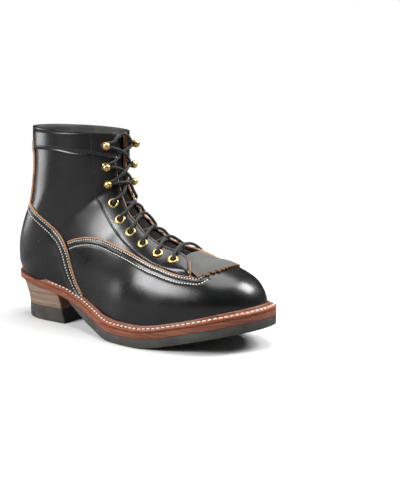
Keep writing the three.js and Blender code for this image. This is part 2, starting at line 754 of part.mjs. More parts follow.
// A lathe piece standing on the leather at a lace place
function onLeather(profile, segments, index, side, lift) {
  const geometry = new THREE.LatheGeometry(profile.map(([r, z]) => new THREE.Vector2(r, z)), segments);
  geometry.rotateX(Math.PI / 2);
  const { s, t } = lacePlace(index, side);
  const normal = lastNormal(s, t);
  const turn = new THREE.Quaternion().setFromUnitVectors(new THREE.Vector3(0, 0, 1), normal);
  geometry.applyQuaternion(turn);
  geometry.translate(...offsetPoint(s, t, lift).toArray());
  return solidFromGeometry(geometry);
}

function makeEyelet(index, side) {
  const middle = (eyeletOuterRadius + eyeletHoleRadius) / 2;
  const profile = [
    [eyeletHoleRadius, 0], [eyeletOuterRadius, 0], [middle, eyeletThickness],
    [eyeletHoleRadius, eyeletThickness / 2], [eyeletHoleRadius, 0],
  ];
  return onLeather(profile, 8, index, side, hardwareGap);
}

const ballSteps = 4;
function makeHook(index, side) {
  const stemAngle = Math.asin(hookStemRadius / hookBallRadius);
  const profile = [
    [0, 0], [hookBaseRadius, 0], [hookBaseRadius, hookBaseThickness], [hookStemRadius, hookBaseThickness],
  ];
  for (let i = 0; i < ballSteps; i += 1) {
    const angle = stemAngle + (i / ballSteps) * (Math.PI - stemAngle);
    profile.push([hookBallRadius * Math.sin(angle), hookBallHeight - hookBallRadius * Math.cos(angle)]);
  }
  profile.push([0, hookBallHeight + hookBallRadius]);
  return onLeather(profile, 8, index, side, hookGap + overlayLift(index));
}

// The top hook stands on the collar band, one layer higher
function overlayLift(index) {
  return index === eyeletsPerSide + hooksPerSide - 1 ? overlayOuter : 0;
}

// Lace: a straight bar at the lowest eyelets, then crossings from pair to pair up to the top hooks
const laceSides = 5;
const laceSteps = 4;
function strand(from, to) {
  const lace = laceDiameter / 2;
  const lift = hardwareGap + eyeletThickness + 2 * layerGap + lace;
  const points = [];
  for (let i = 0; i <= laceSteps; i += 1) {
    const k = i / laceSteps;
    const s = from.s + (to.s - from.s) * k;
    const t = from.t + (to.t - from.t) * k;
    const over = Math.max(from.lift, to.lift);
    points.push(offsetPoint(s, t, lift + over));
  }
  const curve = new THREE.CatmullRomCurve3(points);
  const shape = new THREE.Shape();
  for (let i = 0; i < laceSides; i += 1) {
    const angle = (i / laceSides) * 2 * Math.PI;
    const [x, y] = [lace * Math.cos(angle), lace * Math.sin(angle)];
    if (i === 0) shape.moveTo(x, y);
    else shape.lineTo(x, y);
  }
  shape.closePath();
  const options = { steps: laceSteps, extrudePath: curve, bevelEnabled: false };
  return solidFromGeometry(new THREE.ExtrudeGeometry(shape, options));
}

function makeLaces() {
  const knots = eyeletsPerSide + hooksPerSide;
  const place = (index, side) => {
    const { s } = lacePlace(index, side);
    const shift = index < eyeletsPerSide ? 0 : hookInset;
    return { s, t: fromRidge(s, side, throatHalf(s) + eyeletInset + shift), lift: overlayLift(index) };
  };
  let laces = strand(place(0, -1), place(0, 1));
  for (let i = 0; i < knots - 1; i += 1) {
    laces = laces.add(strand(place(i, -1), place(i + 1, 1)));
    laces = laces.add(strand(place(i, 1), place(i + 1, -1)));
  }
  return laces;
}

function addPiece(group, name, solid, colour, roughness, metalness) {
  const mesh = solid.getMesh();
  const geometry = new THREE.BufferGeometry();
  geometry.setAttribute('position', new THREE.BufferAttribute(mesh.vertProperties, 3));
  geometry.setIndex(new THREE.BufferAttribute(mesh.triVerts, 1));
  geometry.computeVertexNormals();
  const material = new THREE.MeshStandardMaterial({ color: colour, roughness, metalness });
  const piece = new THREE.Mesh(geometry, material);
  piece.name = name;
  group.add(piece);
}

const boot = new THREE.Group();
addPiece(boot, 'upper', makeUpper(), colours.leather, 0.45, 0);
addPiece(boot, 'vamp', makeVamp(), colours.leather, 0.4, 0);
addPiece(boot, 'counter_cover', makeCounter(), colours.leather, 0.4, 0);
addPiece(boot, 'collar_band', makeCollarBand(), colours.leather, 0.45, 0);
addPiece(boot, 'backstay', makeBackstay(), colours.leather, 0.45, 0);
addPiece(boot, 'tongue', makeTongue(), colours.leather, 0.6, 0);
addPiece(boot, 'kiltie', makeKiltie(), colours.kiltie, 0.8, 0);
addPiece(boot, 'insole', makeInsole(), colours.insole, 0.7, 0);
addPiece(boot, 'welt', makeWelt(), colours.welt, 0.5, 0);
addPiece(boot, 'midsole', makeMidsole(), colours.midsole, 0.5, 0);
addPiece(boot, 'outsole', makeOutsole(), colours.rubber, 0.8, 0);
addPiece(boot, 'heel_stack', makeHeelStack(), colours.stack, 0.6, 0);
addPiece(boot, 'heel_cap', makeHeelCap(), colours.rubber, 0.8, 0);
for (const [label, side] of [['lateral', -1], ['medial', 1]]) {
  for (let i = 0; i < eyeletsPerSide; i += 1) {
    addPiece(boot, `eyelet_${label}_${i + 1}`, makeEyelet(i, side), colours.brass, 0.3, 1);
  }
  for (let i = 0; i < hooksPerSide; i += 1) {
    addPiece(boot, `hook_${label}_${i + 1}`, makeHook(eyeletsPerSide + i, side), colours.brass, 0.3, 1);
  }
}
addPiece(boot, 'laces', makeLaces(), colours.lace, 0.9, 0);

// Origin at the bottom centre of the boot's box
const box = new THREE.Box3().setFromObject(boot);
const group = new THREE.Group();
boot.position.set(-(box.min.x + box.max.x) / 2, -(box.min.y + box.max.y) / 2, -box.min.z);
group.add(boot);

export default group;
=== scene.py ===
"""Logger boot for the right foot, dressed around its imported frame.

Lengths are millimetres in the boot's own frame, x = 0 at the back of the sole, until a vertex is placed.
"""

from __future__ import annotations

import logging
import math
from dataclasses import dataclass, field
from enum import Enum
from typing import Callable, Sequence

import bmesh
import bpy
import numpy as np
from mathutils import Matrix, Vector
from mathutils.kdtree import KDTree


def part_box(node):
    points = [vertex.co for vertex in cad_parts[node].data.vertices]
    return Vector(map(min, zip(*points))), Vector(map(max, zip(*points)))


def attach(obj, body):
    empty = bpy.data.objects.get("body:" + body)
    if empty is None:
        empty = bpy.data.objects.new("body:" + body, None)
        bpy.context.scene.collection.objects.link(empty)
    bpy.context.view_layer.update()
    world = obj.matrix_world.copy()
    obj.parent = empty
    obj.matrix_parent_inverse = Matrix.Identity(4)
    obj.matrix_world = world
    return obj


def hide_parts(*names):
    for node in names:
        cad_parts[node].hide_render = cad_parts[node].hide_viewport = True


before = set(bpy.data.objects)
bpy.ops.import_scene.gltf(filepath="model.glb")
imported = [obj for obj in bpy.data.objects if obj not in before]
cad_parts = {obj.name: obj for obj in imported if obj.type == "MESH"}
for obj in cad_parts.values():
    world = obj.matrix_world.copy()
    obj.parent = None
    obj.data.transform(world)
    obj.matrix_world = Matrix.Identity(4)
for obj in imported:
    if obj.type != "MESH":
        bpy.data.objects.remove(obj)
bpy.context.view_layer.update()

LOG = logging.getLogger("logger_boot")
MM = 0.001
ROOT = "root"

# distance from a raw edge that stands for having none
FAR = 99.0

Array = np.ndarray


class Side(Enum):
    """The two sides of the boot, with the sign of Y."""

    LATERAL = -1
    MEDIAL = 1


class Face(Enum):
    """Which finish a face of a leather piece takes."""

    GRAIN = 0
    EDGE = 1
    FLESH = 2


# Curves through short tables


def hermite(t: Array, step: Array, ends: tuple[Array, Array], slopes: tuple[Array, Array]) -> Array:
    """Evaluate a cubic between two points with given slopes.

    Args:
        t: Share of the way from the first point to the second.
        step: Distance between the points, in the units of the slopes.
        ends: Values at the two points.
        slopes: Slopes at the two points.

    Returns:
        The value at each share.
    """
    t2, t3 = t * t, t * t * t
    return (
        (2 * t3 - 3 * t2 + 1) * ends[0]
        + (t3 - 2 * t2 + t) * step * slopes[0]
        + (3 * t2 - 2 * t3) * ends[1]
        + (t3 - t2) * step * slopes[1]
    )


def monotone(xs: Sequence[float], ys: Sequence[float]) -> Callable[[Array], Array]:
    """Make a monotone cubic through a table column.

    Args:
        xs: Rising keys of the column.
        ys: Values at the keys.

    Returns:
        A function that evaluates the curve, and holds its ends outside the keys.
    """
    keys, values = np.asarray(xs, float), np.asarray(ys, float)
    step = np.diff(keys)
    rise = np.diff(values) / step
    slope = np.concatenate([rise[:1], np.zeros(len(keys) - 2), rise[-1:]])
    for i in range(1, len(keys) - 1):
        if rise[i - 1] * rise[i] > 0:
            first, second = 2 * step[i] + step[i - 1], step[i] + 2 * step[i - 1]
            slope[i] = (first + second) / (first / rise[i - 1] + second / rise[i])

    def curve(x: Array) -> Array:
        """Evaluate the curve.

        Args:
            x: Places among the keys.

        Returns:
            The value at each place.
        """
        place = np.clip(np.asarray(x, float), keys[0], keys[-1])
        i = np.clip(np.searchsorted(keys, place, side="right") - 1, 0, len(step) - 1)
        t = (place - keys[i]) / step[i]
        return hermite(t, step[i], (values[i], values[i + 1]), (slope[i], slope[i + 1]))

    return curve


def run_length(points: Array) -> Array:
    """Measure the distance from a line's start to each of its points."""
    return np.concatenate([[0.0], np.cumsum(np.linalg.norm(np.diff(points, axis=0), axis=1))])


def evened(points: Array, count: int) -> Array:
    """Space points evenly along a line.

    Args:
        points: The line's points, one a row.
        count: How many points to make.

    Returns:
        The new points, one a row.
    """
    length = run_length(points)
    place = np.linspace(0, length[-1], count)
    return np.stack([np.interp(place, length, column) for column in points.T], axis=1)


def spline(points: Array, count: int) -> Array:
    """Sample a Catmull-Rom curve evenly along its chord length.

    Args:
        points: Control points, one a row.
        count: How many samples to make.

    Returns:
        The samples, one a row.
    """
    pts = np.asarray(points, float)
    chord = run_length(pts)
    slope = np.gradient(pts, chord, axis=0)
    place = np.linspace(0, chord[-1], count)
    i = np.clip(np.searchsorted(chord, place, side="right") - 1, 0, len(chord) - 2)
    step = (chord[i + 1] - chord[i])[:, None]
    t = (place - chord[i])[:, None] / step
    return hermite(t, step, (pts[i], pts[i + 1]), (slope[i], slope[i + 1]))


def smoothstep(x: Array, low: float, high: float) -> Array:
    """Ease from 0 at low to 1 at high."""
    t = np.clip((np.asarray(x, float) - low) / (high - low), 0, 1)
    return t * t * (3 - 2 * t)


def end_round(distance: Array, radius: float, power: float) -> Array:
    """Give the width share of a rounded end: 0 at the tip and 1 from the radius on."""
    u = np.clip(1 - np.maximum(distance, 0) / radius, 0, 1)
    return (1 - u**power) ** (1 / power)


def bell(away: Array, width: float) -> Array:
    """Bell curve that is 1 at 0 and falls off over the width."""
    return np.exp(-0.5 * (away / width) ** 2)


def unit(vectors: Array) -> Array:
    """Scale vectors to length 1."""
    return vectors / np.maximum(np.linalg.norm(vectors, axis=-1, keepdims=True), 1e-9)


def paired(first: Array | float, second: Array | float) -> Array:
    """Pair two coordinates, such as section rows and girths, either of which may be one for all."""
    return np.stack(np.broadcast_arrays(first, second), axis=-1)


# The last and the sole, from the same sections as the solids


@dataclass
class Sole:
    """Profile and outline of the welted sole."""

    length: float = 299.5
    ball_width: float = 106.4
    seat_height: float = 49.0
    toe_spring: float = 22.3
    rubber: float = 8.6
    midsole: float = 5.6
    welt: float = 2.9
    gap: float = 0.3
    toe_swing_share: float = 0.103
    swing_start: float = 0.568
    heel_round: tuple[float, float] = (0.113, 2.1)
    toe_round: tuple[float, float] = (0.167, 2.15)
    # along, heel lift and toe spring as shares
    profile: tuple[tuple[float, float, float], ...] = (
        (0, 1, 0), (0.083, 0.913, 0), (0.167, 0.745, 0), (0.25, 0.62, 0), (0.334, 0.45, 0),
        (0.417, 0.235, 0), (0.501, 0.045, 0), (0.555, 0, 0), (0.635, 0, 0), (0.7, 0, 0.09),
        (0.76, 0, 0.265), (0.84, 0, 0.53), (0.92, 0, 0.79), (1, 0, 1),
    )
    # along, lateral and medial half width as shares of the ball width
    outline: tuple[tuple[float, float, float], ...] = (
        (0, 0.287, 0.282), (0.067, 0.321, 0.315), (0.15, 0.333, 0.322), (0.25, 0.332, 0.306),
        (0.35, 0.376, 0.296), (0.434, 0.45, 0.315), (0.534, 0.547, 0.371), (0.634, 0.568, 0.432),
        (0.718, 0.534, 0.466), (0.8, 0.477, 0.478), (0.885, 0.408, 0.466), (0.95, 0.358, 0.447),
        (1, 0.32, 0.425),
    )

    def __post_init__(self) -> None:
        """Turn the tables into curves."""
        along, lift, spring = zip(*self.profile)
        self.lift, self.spring = monotone(along, lift), monotone(along, spring)
        along, lateral, medial = zip(*self.outline)
        self.half = {Side.LATERAL: monotone(along, lateral), Side.MEDIAL: monotone(along, medial)}
        self.thickness = self.rubber + self.gap + self.midsole

    def top(self, x: Array) -> Array:
        """Height of the midsole's top at x."""
        along = np.asarray(x, float) / self.length
        rise = (self.seat_height - self.thickness) * self.lift(along)
        return self.thickness + rise + self.toe_spring * self.spring(along)

    def centre(self, x: Array) -> Array:
        """Centre line, which swings to the medial side towards the toe."""
        past = np.maximum((np.asarray(x, float) / self.length - self.swing_start) / (1 - self.swing_start), 0)
        return self.toe_swing_share * self.ball_width * past**1.5

    def edge(self, x: Array, side: Side, inset: float = 0.0) -> Array:
        """Side edge of the sole's outline.

        Args:
            x: Places along the sole.
            side: Which edge.
            inset: How far inside the outline the edge lies.

        Returns:
            The y of the edge at each x.
        """
        x = np.asarray(x, float)
        centre = self.centre(x)
        ends = end_round(x - inset, self.heel_round[0] * self.length, self.heel_round[1]) * end_round(
            self.length - inset - x, self.toe_round[0] * self.length, self.toe_round[1]
        )
        half = self.half[side](x / self.length) * self.ball_width - side.value * centre - inset
        return centre + side.value * half * ends


@dataclass
class Last:
    """The last: a table of sections from the toe tip to the collar, sampled once on a fine grid.

    A place on it is a section row s and a girth t: 0 lateral feather, 1 ridge, 2 medial feather.
    Rows from the heel row on are closed at the back seam.
    """

    sole: Sole
    instep_height: float = 102.0
    shaft_height: float = 72.7
    welt_margin: float = 8.6
    seat_margin: float = 3.6
    heel_point: float = 3.4
    toe_clearance: float = 1.0
    # reach as a share of the sole's length, and power, of each rounded end
    toe_rise_round: tuple[float, float] = (0.08, 2.3)
    toe_plan_round: tuple[float, float] = (0.145, 2.15)
    heel_plan_round: tuple[float, float] = (0.107, 2.1)
    # where the seat's margin turns into the welt's, as shares of the sole's length
    seat_blend: tuple[float, float] = (0.1, 0.3)
    heel_row: int = 10
    base_column: int = 3
    rows_per_section: int = 24
    half_columns: int = 96
    profile_points: int = 120
    path_points: int = 800
    fairing: float = 0.2
    search_steps: int = 6
    search_share: float = 0.8
    search_reach: float = 1.2
    inset_step: float = 3.0
    seam_run: int = 6
    origin: Vector = field(default_factory=Vector)

    @property
    def tip(self) -> float:
        """How far the toe of the last reaches along the sole."""
        return self.sole.length - self.welt_margin - self.toe_clearance

    def table(self) -> Array:
        """Sections of the last.

        Returns:
            Rows of ridge x, its share of the instep and of the shaft, base x, its two shares, lateral
            and medial half width, the widest height, and the roundness over and under it.
        """
        tip = self.tip / self.sole.length
        heel = self.heel_point / self.sole.length
        return np.array([
            (tip, 0.25, 0, tip, 0, 0, 0.323, 0.25, 0.2, 2.3, 2.3),
            (0.9, 0.346, 0, 0.9, 0, 0, 0.38, 0.31, 0.22, 2.3, 2.3),
            (0.848, 0.442, 0, 0.835, 0, 0, 0.424, 0.36, 0.24, 2.25, 2.2),
            (0.788, 0.544, 0, 0.755, 0, 0, 0.462, 0.388, 0.24, 2.2, 2.2),
            (0.715, 0.666, 0, 0.668, 0, 0, 0.487, 0.374, 0.24, 2.1, 2.2),
            (0.634, 0.784, 0, 0.568, 0, 0, 0.475, 0.34, 0.26, 2, 2.2),
            (0.568, 0.89, 0, 0.454, 0, 0, 0.406, 0.308, 0.28, 1.95, 2.2),
            (0.518, 1, 0, 0.334, 0, 0, 0.355, 0.303, 0.3, 1.9, 2.3),
            (0.484, 1, 0.143, 0.207, 0, 0, 0.336, 0.312, 0.34, 1.9, 2.4),
            (0.462, 1, 0.293, 0.093, 0, 0, 0.33, 0.316, 0.37, 1.9, 2.5),
            (0.456, 1, 0.36, heel, 0, 0, 0.332, 0.321, 0.39, 1.9, 2.45),
            (0.451, 1, 0.43, 0.006, 0.186, 0, 0.335, 0.326, 0.42, 1.9, 2.4),
            (0.444, 1, 0.547, 0.024, 0.425, 0, 0.342, 0.336, 0.45, 1.95, 2.25),
            (0.441, 1, 0.681, 0.064, 0.715, 0, 0.352, 0.348, 0.47, 2, 2.1),
            (0.4385, 1, 0.816, 0.081, 1, 0.022, 0.361, 0.36, 0.48, 2, 2),
            (0.4375, 1, 1, 0.087, 1, 0.721, 0.366, 0.366, 0.49, 2, 2),
        ])

    def __post_init__(self) -> None:
        """Sample the surface and its normals."""
        table = self.table()
        self.collar = len(table) - 1
        even = np.linspace(0, self.collar, self.collar * self.rows_per_section + 1)
        faired = [self._faired(monotone(range(len(table)), table[:, c])(even)) for c in range(table.shape[1])]
        self.rows = self._row_places(even)
        columns = [np.interp(self.rows, even, column) for column in faired]
        heel_share = float(np.interp(self.heel_row, self.rows, columns[self.base_column]))
        self.heel_x = heel_share * self.sole.length
        halves = {
            side: np.array([self._half(s, [c[k] for c in columns], side) for k, s in enumerate(self.rows)])
            for side in Side
        }
        self.half_girth = {
            side: np.linalg.norm(np.diff(grid, axis=1), axis=2).sum(axis=1) for side, grid in halves.items()
        }
        self.points = np.concatenate([halves[Side.LATERAL], halves[Side.MEDIAL][:, -2::-1]], axis=1)
        self.normals = self._normals()
        last_column = self.points.shape[1] - 1
        self.trees = {
            (first, end): self._tree(first, end)
            for first, end in ((0, self.half_columns), (self.half_columns, last_column), (0, last_column))
        }

    def _tree(self, first: int, end: int) -> KDTree:
        """Sort a run of the grid's columns for nearest lookups.

        Args:
            first: First column of the run.
            end: Last column of the run.

        Returns:
            A tree of the points, by their number in the whole grid.
        """
        columns = self.points.shape[1]
        tree = KDTree(self.points.shape[0] * (end - first + 1))
        for index, spot in enumerate(self.points.reshape(-1, 3)):
            if first <= index % columns <= end:
                tree.insert(spot, index)
        tree.balance()
        return tree

    def _row_places(self, even: Array) -> Array:
        """Crowd the rows at the toe's tip and where the heel closes, where the feather edge turns fast."""
        rows = np.where(even < 1, even**2, even)
        away = even - self.heel_row
        return np.where(np.abs(away) < 1, self.heel_row + away * np.abs(away), rows)

    def _faired(self, column: Array) -> Array:
        """Fair a column of the table along the rows, with its ends held.

        Args:
            column: Values at even rows.

        Returns:
            The faired values.
        """
        reach = int(self.fairing * self.rows_per_section * 3)
        kernel = bell(np.arange(-reach, reach + 1), self.fairing * self.rows_per_section)
        start = 2 * column[0] - column[reach:0:-1]
        end = 2 * column[-1] - column[-2 : -reach - 2 : -1]
        return np.convolve(np.concatenate([start, column, end]), kernel / kernel.sum(), mode="valid")

    def _closing(self, distance: float, rounding: tuple[float, float]) -> float:
        """Width share at a distance from a rounded end."""
        return float(end_round(distance, rounding[0] * self.sole.length, rounding[1]))

    def _half(self, s: float, row: Sequence[float], side: Side) -> Array:
        """Sample one half section evenly from the feather edge or back seam to the ridge.

        Args:
            s: Section row.
            row: The values of the table's columns at that row.
            side: Which half.

        Returns:
            Points along the half section.
        """
        sole = self.sole
        ridge, ridge_instep, ridge_shaft, base, base_instep, base_shaft = row[:6]
        width_share = row[6] if side is Side.LATERAL else row[7]
        equator, over, belly = row[8:11]
        ridge_x, base_x = ridge * sole.length, base * sole.length
        foot = float(sole.top(ridge_x)) + sole.gap
        height = ridge_instep * self.instep_height + ridge_shaft * self.shaft_height
        ridge_z = foot + height * self._closing(self.tip - ridge_x, self.toe_rise_round)
        base_z = float(sole.top(base_x)) + sole.gap
        base_z = base_z + base_instep * self.instep_height + base_shaft * self.shaft_height
        tip_close = self._closing(self.tip - base_x, self.toe_plan_round)
        centre = float(sole.centre(base_x))
        width = width_share * sole.ball_width * tip_close
        feather = 0.0
        if s < self.heel_row:
            edge = float(sole.half[side](base_x / sole.length)) * sole.ball_width - side.value * centre
            blend = float(smoothstep(base_x / sole.length, *self.seat_blend))
            margin = self.seat_margin + (self.welt_margin - self.seat_margin) * blend
            heel_close = self._closing(base_x - self.heel_x, self.heel_plan_round)
            feather = (edge - margin) * heel_close * tip_close
        ratio = min(feather / max(width, 1e-6), 0.99)
        reach = equator / (1 - ratio**belly) ** (1 / belly) if ratio > 0.001 else equator
        start = math.acos(min(1.0, equator / reach) ** (belly / 2))
        low = np.linspace(start, math.pi / 2, self.profile_points // 2, endpoint=False)
        high = np.linspace(0, math.pi / 2, self.profile_points // 2)
        up = np.concatenate([
            equator - reach * np.cos(low) ** (2 / belly),
            equator + (1 - equator) * np.sin(high) ** (2 / over)])
        out = width * np.concatenate([
            np.sin(low) ** (2 / belly), np.maximum(np.cos(high), 0) ** (2 / over)])
        line = np.stack([
            base_x + (ridge_x - base_x) * up,
            centre + side.value * out,
            base_z + (ridge_z - base_z) * up], axis=1)
        return evened(line, self.half_columns + 1)

    def _normals(self) -> Array:
        """Work out the outward normals of the sampled surface.

        Returns:
            A unit normal for each point.
        """
        grid = self.points
        along_s = np.gradient(grid, axis=0)
        along_t = np.gradient(grid, axis=1)
        closed = self.heel_row * self.rows_per_section
        seam = (grid[closed:, 1] - grid[closed:, -2]) / 2
        along_t[closed:, 0] = seam
        along_t[closed:, -1] = seam
        corner = [0, 1, 2, -3, -2, -1]
        along_s[closed, corner] = grid[closed + 1, corner] - grid[closed, corner]
        along_s[closed - 1, corner] = grid[closed - 1, corner] - grid[closed - 2, corner]
        normal = np.cross(along_t, along_s)
        length = np.linalg.norm(normal, axis=2, keepdims=True)
        return np.where(length > 1e-9, unit(normal), [1.0, 0.0, 0.0])

    def _lookup(self, grid: Array, st: Array) -> Array:
        """Interpolate a sampled grid at places on the last.

        Args:
            grid: The last's points or normals.
            st: Section row and girth of each place.

        Returns:
            The grid's value at each place.
        """
        s = np.interp(st[..., 0], self.rows, np.arange(len(self.rows)))
        t = st[..., 1]
        t = np.where(st[..., 0] >= self.heel_row, np.mod(t, 2.0), np.clip(t, 0, 2)) * self.half_columns
        i = np.clip(np.floor(s).astype(int), 0, grid.shape[0] - 2)
        j = np.clip(np.floor(t).astype(int), 0, grid.shape[1] - 2)
        a, b = (s - i)[..., None], (t - j)[..., None]
        return (
            grid[i, j] * (1 - a) * (1 - b) + grid[i + 1, j] * a * (1 - b)
            + grid[i, j + 1] * (1 - a) * b + grid[i + 1, j + 1] * a * b
        )

    def normal(self, st: Array) -> Array:
        """Outward normals at places on the last."""
        return unit(self._lookup(self.normals, np.asarray(st, float)))

    def at(self, st: Array, offset: Array | float = 0.0) -> Array:
        """Give points of the leather at an offset outside the last.

        Args:
            st: Places as section row and girth.
            offset: Distance outside the last, one for all or one a place.

        Returns:
            The points, never under the sole's top.
        """
        st = np.asarray(st, float)
        lift = np.asarray(offset, float) + CREASES.relief(st)
        point = self.lookup(st) + self.normal(st) * np.expand_dims(lift, -1)
        floor = self.sole.top(np.clip(point[..., 0], 0, self.sole.length)) + self.sole.gap
        point[..., 2] = np.maximum(point[..., 2], floor)
        return point

    def place(self, points: Array) -> Array:
        """Move points into the frame, in metres."""
        return (np.asarray(points, float) + np.array(self.origin)) * MM

    def from_ridge(self, s: Array, distance: Array) -> Array:
        """Give the girth at a distance from the ridge, negative on the lateral side."""
        distance = np.asarray(distance, float)
        return 1 + distance / np.where(distance < 0, self.girth(s, Side.LATERAL), self.girth(s, Side.MEDIAL))

    def girth(self, s: Array, side: Side) -> Array:
        """Length of one side's half section, from feather or back seam to the ridge."""
        return np.interp(np.asarray(s, float), self.rows, self.half_girth[side])

    def path(self, controls: Sequence[Sequence[float]], step: float) -> Array:
        """Draw a smooth line over the last, with points evenly apart.

        Args:
            controls: Control places, each a section row and a girth.
            step: Distance between points, in millimetres.

        Returns:
            The line's places.
        """
        places = np.asarray(controls, float)
        dense = spline(self.lookup(places), self.path_points)
        count = max(int(round(run_length(dense)[-1] / step)), 2)
        line = self.nearest(evened(dense, count + 1), places[:, 1])
        line[[0, -1]] = places[[0, -1]]
        return line

    def nearest(self, points: Array, girths: Array) -> Array:
        """Find the places on the last that are nearest to points.

        Args:
            points: Points in the boot's own frame.
            girths: Girths that lie on the same half of the last as the points, or on both.

        Returns:
            Section row and girth of each.
        """
        flat = points.reshape(-1, 3)
        rows, columns = self.points.shape[:2]
        first = self.half_columns if girths.min() >= 1 - 1e-6 else 0
        end = self.half_columns if girths.max() <= 1 + 1e-6 else columns - 1
        tree = self.trees[first, end]
        found = np.array([tree.find(spot)[1] for spot in flat])
        row, column = (found // columns).astype(float), (found % columns).astype(float)
        for _ in range(self.search_steps):
            i = np.clip(np.floor(row), 0, rows - 2).astype(int)
            j = np.clip(np.floor(column), first, end - 1).astype(int)
            u, v = (row - i)[:, None], (column - j)[:, None]
            low = self.points[i, j] * (1 - v) + self.points[i, j + 1] * v
            high = self.points[i + 1, j] * (1 - v) + self.points[i + 1, j + 1] * v
            left = self.points[i, j] * (1 - u) + self.points[i + 1, j] * u
            right = self.points[i, j + 1] * (1 - u) + self.points[i + 1, j + 1] * u
            here = low * (1 - u) + high * u
            move = self._solved(high - low, right - left, flat - here)
            move = self.search_share * np.clip(move, -self.search_reach, self.search_reach)
            row = np.clip(row + move[:, 0], 0, rows - 1)
            column = np.clip(column + move[:, 1], first, end)
        return self._places(row, column).reshape(*points.shape[:-1], 2)

    def _places(self, row: Array, column: Array) -> Array:
        """Turn grid rows and columns into section rows and girths."""
        s = np.interp(row, np.arange(len(self.rows)), self.rows)
        return np.stack([s, np.clip(column / self.half_columns, 0, 2)], axis=-1)

    def _solved(self, down: Array, across: Array, away: Array) -> Array:
        """Solve in least squares how many of two grid steps lead to a point.

        Args:
            down: The grid's step from row to row.
            across: The grid's step from column to column.
            away: Where the point lies, from the place that the steps start at.

        Returns:
            How many steps down and across, one pair a point.
        """
        dd, aa, da = (down**2).sum(1), (across**2).sum(1), (down * across).sum(1)
        rd, ra = (down * away).sum(1), (across * away).sum(1)
        det = np.maximum(dd * aa - da**2, 1e-9)
        return np.clip(np.stack([(rd * aa - ra * da) / det, (ra * dd - rd * da) / det], axis=1), -2.0, 2.0)

    def found(self, side: Side, border: Array) -> Array:
        """Find the places under a border drawn in side view.

        Args:
            side: The side of the last that the border is drawn on.
            border: Points of the border as x and z.

        Returns:
            The places on the last, one a point.
        """
        first = 0 if side is Side.LATERAL else self.half_columns
        half = slice(first, first + self.half_columns + 1)
        grid = self.points[:, half][..., [0, 2]]
        spots = []
        for spot in border:
            away = ((grid - spot) ** 2).sum(axis=2)
            i, j = np.unravel_index(np.argmin(away), away.shape)
            i, j = min(max(i, 1), grid.shape[0] - 2), min(max(j, 1), grid.shape[1] - 2)
            down, across = (grid[i + 1, j] - grid[i - 1, j]) / 2, (grid[i, j + 1] - grid[i, j - 1]) / 2
            move = np.linalg.lstsq(np.stack([down, across], axis=1), spot - grid[i, j], rcond=None)[0]
            move = np.clip(move, -1.0, 1.0)
            spots.append((i + move[0], first + j + move[1]))
        return self._places(*np.array(spots).T)

    def inset(self, line: Array, distance: float) -> Array:
        """Move a line sideways over the last, a short step at a time.

        Args:
            line: Places of the line.
            distance: How far it moves towards the foot.

        Returns:
            The moved line's places.
        """
        st = np.array(line[:, :2], float)
        steps = max(int(math.ceil(abs(distance) / self.inset_step)), 1)
        foot_way = -1.0 if st[:, 1].mean() < 1 else 1.0
        seamed = abs(st[-1, 1] - 1) > 0.999 and st[-1, 0] > self.heel_row
        for _ in range(steps):
            point = self.lookup(st)
            inward = np.cross(self.normal(st), self.averaged(np.gradient(point, axis=0), 3))
            inward = unit(self.averaged(unit(inward), 2))
            beside = self.lookup(st + [0, 0.02 * foot_way]) - point
            if (inward * beside).sum() < 0:
                inward = -inward
            st = self.nearest(point + inward * (distance / steps), st[:, 1])
            if seamed:
                run = self.seam_run
                st[-1] = st[-run, 0], 1 + foot_way
                st[-run:] = st[-run] + (st[-1] - st[-run]) * np.linspace(0, 1, run)[:, None]
        return st

    def averaged(self, values: Array, reach: int) -> Array:
        """Average rows of values over their neighbours."""
        padded = np.pad(values, ((reach, reach), (0, 0)), mode="edge")
        return np.mean([padded[k:k + len(values)] for k in range(2 * reach + 1)], axis=0)

    def lookup(self, st: Array) -> Array:
        """Find the points on the last at places.

        Args:
            st: Section row and girth of each place.

        Returns:
            The points in the boot's own frame.
        """
        return self._lookup(self.points, st)

    def groove(self, st: Array, line: Array, width: float, depth: float) -> Array:
        """Depth of a soft groove along a line.

        Args:
            st: Grid of places.
            line: Places of the line.
            width: Half width of the groove.
            depth: Its depth, negative for a ridge.

        Returns:
            The relief at each place of the grid.
        """
        points = self.lookup(st)
        nearest = np.full(points.shape[:-1], np.inf)
        for spot in self.lookup(line):
            nearest = np.minimum(nearest, ((points - spot) ** 2).sum(axis=-1))
        return -depth * np.exp(-0.5 * nearest / width**2)


@dataclass(frozen=True)
class Crease:
    """A soft trough or ridge across the leather, between two places on the last."""

    start: tuple[float, float]
    end: tuple[float, float]
    width: float
    depth: float


@dataclass(frozen=True)
class Creases:
    """The main creases, placed in section rows and girths."""

    girth_per_row: float = 0.14
    lines: tuple[Crease, ...] = (
        Crease((7.9, 0.66), (9.6, 0.5), 0.5, -0.5),
        Crease((8.6, 0.72), (10.6, 0.58), 0.45, -0.45),
        Crease((7.4, 1.36), (9.5, 1.5), 0.5, -0.5),
        Crease((8.5, 1.27), (10.5, 1.42), 0.45, -0.4),
        Crease((11.6, 0.75), (12.6, 0.42), 0.5, 0.35),
        Crease((11.8, 1.25), (12.6, 1.5), 0.5, 0.3),
    )

    def relief(self, st: Array) -> Array:
        """Work out the height of the creases over the smooth last.

        Args:
            st: Section row and girth of each place.

        Returns:
            The height at each place, in millimetres.
        """
        scale = np.array([1.0, 1 / self.girth_per_row])
        total = np.zeros(st.shape[:-1])
        for line in self.lines:
            a, b = np.array(line.start) * scale, np.array(line.end) * scale
            span = b - a
            along = ((st * scale - a) @ span) / (span @ span)
            near = a + np.clip(along, 0, 1)[..., None] * span
            away = np.linalg.norm(st * scale - near, axis=-1)
            total += line.depth * bell(away, line.width)
        return total


CREASES = Creases()


# Finishes


